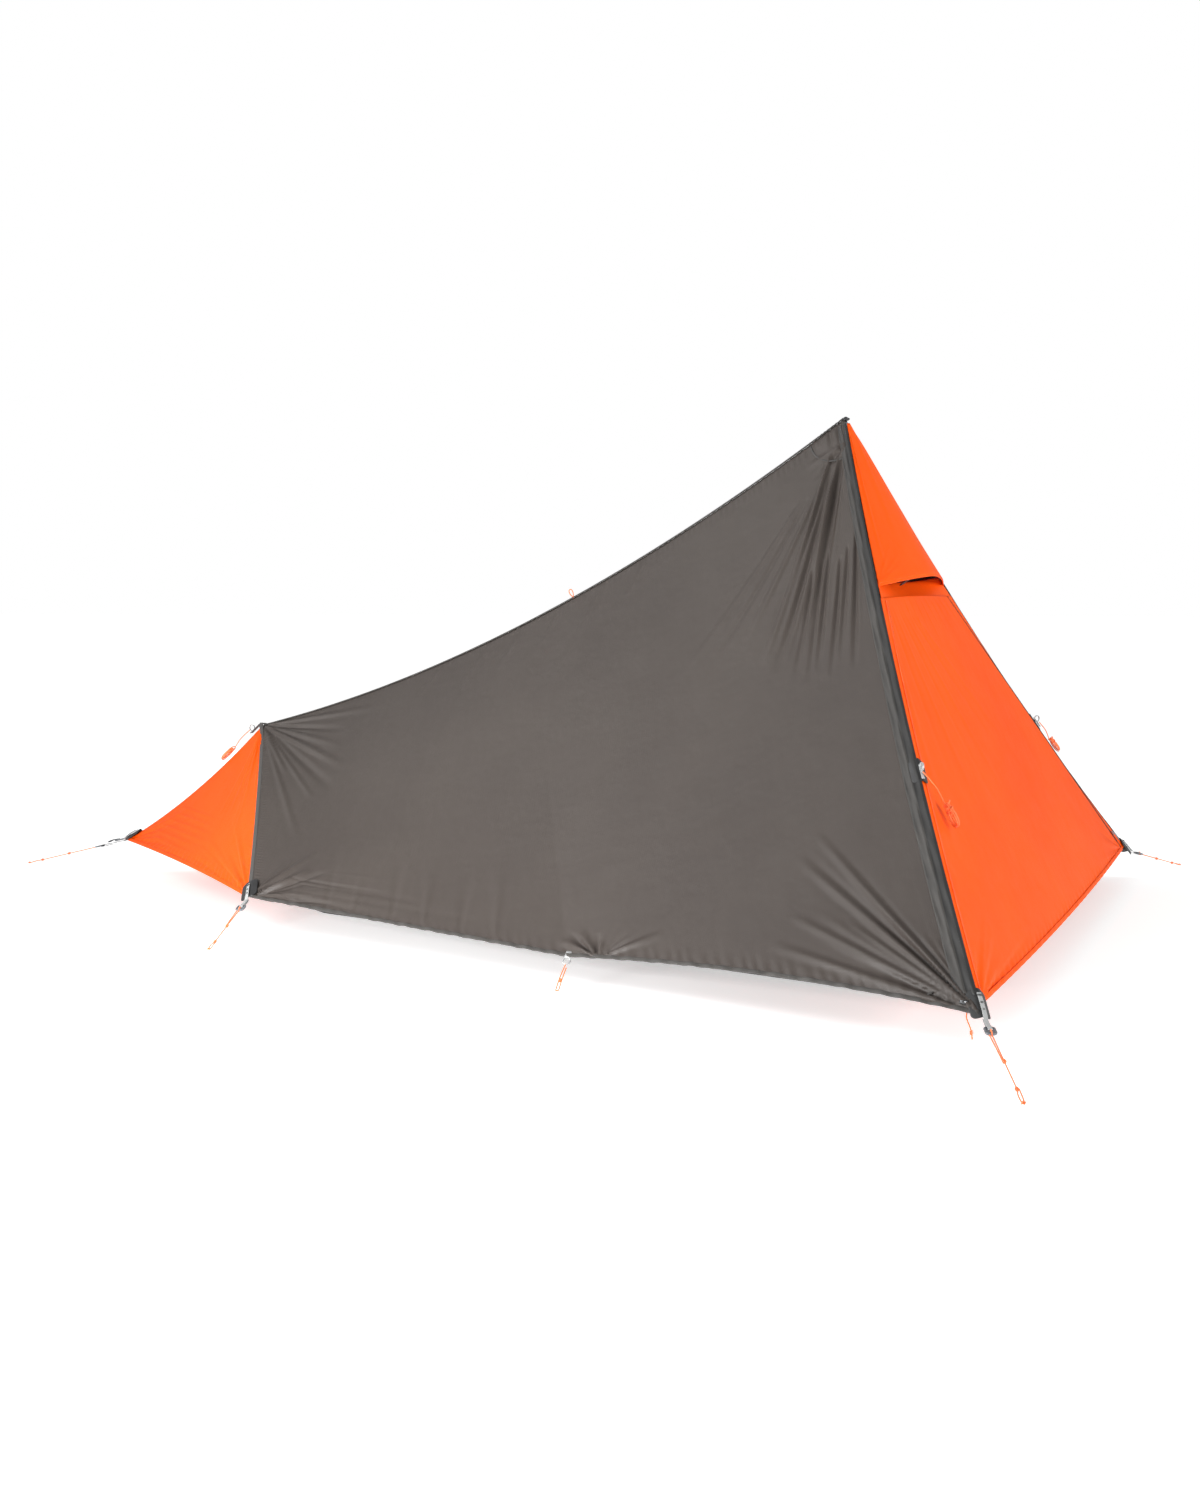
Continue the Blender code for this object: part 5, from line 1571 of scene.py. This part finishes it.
def build_floor(tent):
    """The bathtub floor: one coated sheet whose rim turns up and ripples between its corners."""
    corners = np.array([(FLOOR_FRONT[0], -FLOOR_FRONT[1]), (FLOOR_FRONT[0], FLOOR_FRONT[1]),
                        (FLOOR_BACK[0], FLOOR_BACK[1]), (FLOOR_TIP, 0.0),
                        (FLOOR_BACK[0], -FLOOR_BACK[1])])
    middle = corners.mean(0)
    outline = []
    for first, second in zip(corners, np.roll(corners, -1, 0)):
        outline += [first + (second - first) * s for s in np.linspace(0, 1, 40, endpoint=False)]
    outline = np.array(outline)
    count = len(outline)
    walk = np.arange(count)
    away = unit(outline - middle)
    wave = np.sin(walk * 0.55) * 0.5 + np.sin(walk * 0.23 + 1) * 0.5
    rings = []
    for inward, height, ripple in ((0.62, 0.0012, 0.0), (0.30, 0.0014, 0.0), (0.10, 0.0016, 0.1),
                                   (0.03, 0.0018, 0.2), (0.008, 0.0030, 0.3), (0.0, 0.0100, 0.6),
                                   (-0.008, 0.028, 1.0), (-0.015, FLOOR_WALL - 0.002, 1.0)):
        ring = middle + (outline - middle) * (1 - inward)
        ring = ring + away * (wave * 0.0022 * ripple)[:, None]
        rings.append(np.column_stack([ring[:, 0] + FRONT_POLE_X, ring[:, 1],
                                      height + wave * 0.0008 * ripple]))
    points = np.concatenate([np.array(rings).reshape(-1, 3),
                             [[middle[0] + FRONT_POLE_X, middle[1], 0.0012]]])
    faces = [list(face)[::-1] for face in grid_faces(len(rings), count, True)]
    centre = len(points) - 1
    faces += [[centre, i, (i + 1) % count] for i in range(count)]
    sheet = piece("bathtub_floor_sheet", (points, faces), finishes(tent)["floor"],
                  replaces="bathtub_floor")
    thicken(sheet, 0.0008)


# ---------------------------------------------------------------- studio

CAMERA_PLACE = (2.0335, -3.9684, 0.8464)
CAMERA_TURN = (-0.4127, -0.0916, -0.0056)
CAMERA_LENS = 40.22
CAMERA_SHIFT = (-0.0188, -0.0066)
FLOOR_LEVEL = -0.0012
# Each lamp's place, the point it looks at, its width and its share of the key light
LAMPS = {
    "key": ((6.0, -2.0, 1.5), (0.7, 0.1, 0.5), 1.8, 1.25),
    "fill": ((-0.35, -2.3, 0.45), (-0.15, -0.6, 0.30), 0.7, 0.36),
    "top": ((0.2, 0.6, 4.4), (0, 0, 0.2), 3.0, 0.05),
    "back": ((-3.2, 3.2, 1.8), (-0.9, 0, 0.3), 2.0, 0.20),
}
WINDOW_FROM = (-0.76, -0.27, 0.59)
WINDOW_WIDTH = math.radians(24)


def placed(name, data, right, up, back, place):
    """A camera or a lamp in the scene, from its own axes and its place."""
    holder = bpy.data.objects.new(name, data)
    bpy.context.scene.collection.objects.link(holder)
    matrix = np.eye(4)
    matrix[:3] = np.column_stack([right, up, back, place])
    holder.matrix_world = Matrix(matrix.tolist())
    return holder


def build_camera():
    """The camera, from its place, its turns in radians (yaw, pitch, roll) and its lens."""
    camera = bpy.data.cameras.new("view")
    camera.sensor_width, camera.lens, camera.clip_end = 36.0, CAMERA_LENS, 100.0
    camera.shift_x, camera.shift_y = CAMERA_SHIFT
    yaw, pitch, roll = CAMERA_TURN
    forward = vec(math.sin(yaw) * math.cos(pitch), math.cos(yaw) * math.cos(pitch),
                  math.sin(pitch))
    right = vec(math.cos(yaw), -math.sin(yaw), 0)
    up = np.cross(right, forward)
    bpy.context.scene.camera = placed(
        "view", camera, right * math.cos(roll) + up * math.sin(roll),
        up * math.cos(roll) - right * math.sin(roll), -forward, CAMERA_PLACE)


def build_room(strength):
    """An even pale room: white where the camera sees it, dimmer where it lights the tent."""
    world = bpy.data.worlds.new("studio")
    world.use_nodes = True
    tree = world.node_tree
    tree.nodes.clear()
    seen = add_node(tree, "ShaderNodeLightPath").outputs["Is Camera Ray"]
    wall = add_node(tree, "ShaderNodeBackground", {0: linear("#ffffff"), 1: 1.0})
    room = add_node(tree, "ShaderNodeBackground", {0: linear("#ffffff"), 1: strength})
    both = add_node(tree, "ShaderNodeMixShader", {0: seen, 1: room.outputs[0],
                                                  2: wall.outputs[0]})
    add_node(tree, "ShaderNodeOutputWorld", {0: both.outputs[0]})
    bpy.context.scene.world = world


def build_stage(tent):
    """The camera, the pale floor, the room and the lamps."""
    bpy.context.scene.view_settings.view_transform = "Standard"
    build_camera()
    size = tent.floor_size
    square = [(x, y, FLOOR_LEVEL) for x, y in ((-size, -size), (size, -size), (size, size),
                                               (-size, size))]
    piece("studio_floor", (square, [[0, 1, 2, 3]]),
                   (lit_floor("opal_studio_floor", tent.floor, "#ffffff", 0.45), None), None)
    build_room(tent.room_light)
    for name, (place, target, width, power) in LAMPS.items():
        lamp = bpy.data.lights.new(name, "AREA")
        lamp.shape = "RECTANGLE"
        lamp.size, lamp.size_y = width, width * 0.8
        lamp.energy = tent.key_light * power
        back = unit(vec(*place) - vec(*target))
        side = unit(np.cross(Z, back))
        placed(name, lamp, side, np.cross(back, side), back, place)
    window = bpy.data.lights.new("window", "SUN")
    window.energy, window.angle = tent.window_light, WINDOW_WIDTH
    holder = bpy.data.objects.new("window", window)
    holder.rotation_euler = Vector(WINDOW_FROM).to_track_quat("Z", "Y").to_euler()
    bpy.context.scene.collection.objects.link(holder)


# ---------------------------------------------------------------- add-on

class TentProperties(bpy.types.PropertyGroup):
    """The sizes and colours of the tent that a user would change"""
    grey: bpy.props.FloatVectorProperty(
        name="Side cloth", description="Colour of the two long side panels",
        subtype="COLOR", min=0, max=1, default=linear("#4b443f")[:3])
    orange: bpy.props.FloatVectorProperty(
        name="Front cloth", description="Colour of the door, the hood and the foot panels",
        subtype="COLOR", min=0, max=1, default=linear("#ff6308")[:3])
    floor: bpy.props.FloatVectorProperty(
        name="Studio floor", description="Colour of the floor the tent stands on",
        subtype="COLOR", min=0, max=1, default=linear("#f2f2f1")[:3])
    hem_width: bpy.props.FloatProperty(
        name="Hem width", description="Width of the folded hem along each side panel",
        default=0.009, min=0.004, max=0.02, unit="LENGTH")
    ridge_tape_width: bpy.props.FloatProperty(
        name="Ridge tape width", description="Width of the tape over the ridge seam",
        default=0.017, min=0.008, max=0.03, unit="LENGTH")
    floor_size: bpy.props.FloatProperty(
        name="Studio floor size", description="Half the width of the studio floor",
        default=40.0, min=5.0, unit="LENGTH")
    key_light: bpy.props.FloatProperty(
        name="Key light", description="Power of the main lamp", default=165.0, min=0,
        unit="POWER")
    room_light: bpy.props.FloatProperty(
        name="Room light", description="Strength of the even light from all round",
        default=0.44, min=0)
    window_light: bpy.props.FloatProperty(
        name="Window light", description="Strength of the broad light from the foot end",
        default=1.0, min=0)


class TENT_OT_stage(bpy.types.Operator):
    """Sets up the camera, the pale floor, the room light and the lamps"""
    bl_idname = "tent.stage"
    bl_label = "Studio"

    def execute(self, context):
        build_stage(context.scene.tent)
        return {"FINISHED"}


class TENT_OT_guy_lines(bpy.types.Operator):
    """Lays the taut guy lines from each staked corner, with their knots"""
    bl_idname = "tent.guy_lines"
    bl_label = "Guy lines"

    def execute(self, context):
        build_guy_lines(context.scene.tent)
        return {"FINISHED"}


class TENT_OT_hem_cords(bpy.types.Operator):
    """Lays the looped cords at the middle of each hem"""
    bl_idname = "tent.hem_cords"
    bl_label = "Hem cords"

    def execute(self, context):
        build_hem_cords(context.scene.tent)
        return {"FINISHED"}


class TENT_OT_stored_lines(bpy.types.Operator):
    """Hangs the three spare guy lines in their hanks"""
    bl_idname = "tent.stored_lines"
    bl_label = "Stored lines"

    def execute(self, context):
        build_stored_lines(context.scene.tent)
        return {"FINISHED"}


class TENT_OT_pull_cord(bpy.types.Operator):
    """Hangs the short cord pull from the toggle on the near hem"""
    bl_idname = "tent.pull_cord"
    bl_label = "Pull cord"

    def execute(self, context):
        build_pull_cord(context.scene.tent)
        return {"FINISHED"}


class TENT_OT_side_panels(bpy.types.Operator):
    """Makes the two long grey panels with their folds, hems and patch seams"""
    bl_idname = "tent.side_panels"
    bl_label = "Side panels"

    def execute(self, context):
        build_side_panels(context.scene.tent)
        return {"FINISHED"}


class TENT_OT_foot_panels(bpy.types.Operator):
    """Makes the two small orange panels at the foot"""
    bl_idname = "tent.foot_panels"
    bl_label = "Foot panels"

    def execute(self, context):
        build_foot_panels(context.scene.tent)
        return {"FINISHED"}


class TENT_OT_door(bpy.types.Operator):
    """Makes the door's cloth, hem, piping and stitching"""
    bl_idname = "tent.door"
    bl_label = "Door"

    def execute(self, context):
        build_door(context.scene.tent)
        return {"FINISHED"}


class TENT_OT_far_band(bpy.types.Operator):
    """Makes the narrow orange band beyond the zip"""
    bl_idname = "tent.far_band"
    bl_label = "Far band"

    def execute(self, context):
        build_far_band(context.scene.tent)
        return {"FINISHED"}


class TENT_OT_vent(bpy.types.Operator):
    """Makes the hood, its brow, the sill and the netting"""
    bl_idname = "tent.vent"
    bl_label = "Vent"

    def execute(self, context):
        build_vent(context.scene.tent)
        return {"FINISHED"}


class TENT_OT_flaps(bpy.types.Operator):
    """Makes the two-tone storm flap down each front edge"""
    bl_idname = "tent.flaps"
    bl_label = "Storm flaps"

    def execute(self, context):
        build_flaps(context.scene.tent)
        return {"FINISHED"}


class TENT_OT_tapes(bpy.types.Operator):
    """Makes the tapes on the ridge and foot seams, and the cap at the apex"""
    bl_idname = "tent.tapes"
    bl_label = "Tapes"

    def execute(self, context):
        build_tapes(context.scene.tent)
        return {"FINISHED"}


class TENT_OT_ridge_loop(bpy.types.Operator):
    """Makes the small cord loop on the ridge"""
    bl_idname = "tent.ridge_loop"
    bl_label = "Ridge loop"

    def execute(self, context):
        build_ridge_loop(context.scene.tent)
        return {"FINISHED"}


class TENT_OT_zip(bpy.types.Operator):
    """Makes the zip's tape and coil, and finishes its slider and pull"""
    bl_idname = "tent.zip"
    bl_label = "Zip"

    def execute(self, context):
        build_zip(context.scene.tent)
        return {"FINISHED"}


class TENT_OT_corners(bpy.types.Operator):
    """Makes the patch, strap and line lock at each staked corner"""
    bl_idname = "tent.corners"
    bl_label = "Corners"

    def execute(self, context):
        build_corners(context.scene.tent)
        return {"FINISHED"}


class TENT_OT_foot_tip(bpy.types.Operator):
    """Makes the patch, strap and adjuster at the foot"""
    bl_idname = "tent.foot_tip"
    bl_label = "Foot tip"

    def execute(self, context):
        build_foot_tip(context.scene.tent)
        return {"FINISHED"}


class TENT_OT_loops(bpy.types.Operator):
    """Makes the sewn loops that the cords hang from"""
    bl_idname = "tent.loops"
    bl_label = "Loops"

    def execute(self, context):
        build_loops(context.scene.tent)
        return {"FINISHED"}


class TENT_OT_toggle(bpy.types.Operator):
    """Makes the toggle by the near front corner"""
    bl_idname = "tent.toggle"
    bl_label = "Toggle"

    def execute(self, context):
        build_toggle(context.scene.tent)
        return {"FINISHED"}


class TENT_OT_prop(bpy.types.Operator):
    """Makes the strut that holds the hood open"""
    bl_idname = "tent.prop"
    bl_label = "Hood prop"

    def execute(self, context):
        build_prop(context.scene.tent)
        return {"FINISHED"}


class TENT_OT_poles(bpy.types.Operator):
    """Makes the tubes and ferrules of both poles"""
    bl_idname = "tent.poles"
    bl_label = "Poles"

    def execute(self, context):
        build_poles(context.scene.tent)
        return {"FINISHED"}


class TENT_OT_floor(bpy.types.Operator):
    """Makes the bathtub floor inside the tent"""
    bl_idname = "tent.floor"
    bl_label = "Floor"

    def execute(self, context):
        build_floor(context.scene.tent)
        return {"FINISHED"}


STEPS = (TENT_OT_stage, TENT_OT_guy_lines, TENT_OT_hem_cords, TENT_OT_stored_lines,
         TENT_OT_pull_cord, TENT_OT_side_panels, TENT_OT_foot_panels, TENT_OT_door,
         TENT_OT_far_band, TENT_OT_vent, TENT_OT_flaps, TENT_OT_tapes, TENT_OT_ridge_loop,
         TENT_OT_zip, TENT_OT_corners, TENT_OT_foot_tip, TENT_OT_loops, TENT_OT_toggle,
         TENT_OT_prop, TENT_OT_poles, TENT_OT_floor)


class TENT_PT_sidebar(bpy.types.Panel):
    """The tent's settings, and the steps that build it in order"""
    bl_idname = "TENT_PT_sidebar"
    bl_label = "Pole tent"
    bl_space_type = "VIEW_3D"
    bl_region_type = "UI"
    bl_category = "Tent"

    def draw(self, context):
        for name in TentProperties.__annotations__:
            self.layout.prop(context.scene.tent, name)
        for step in STEPS:
            self.layout.operator(step.bl_idname)


CLASSES = (TentProperties, *STEPS, TENT_PT_sidebar)


def register():
    for made in CLASSES:
        bpy.utils.register_class(made)
    bpy.types.Scene.tent = bpy.props.PointerProperty(type=TentProperties)


def unregister():
    del bpy.types.Scene.tent
    for made in reversed(CLASSES):
        bpy.utils.unregister_class(made)


def main():
    """Builds the whole tent."""
    register()
    for step in STEPS:
        getattr(bpy.ops.tent, step.bl_idname.partition(".")[2])()


if __name__ == "__main__":
    main()
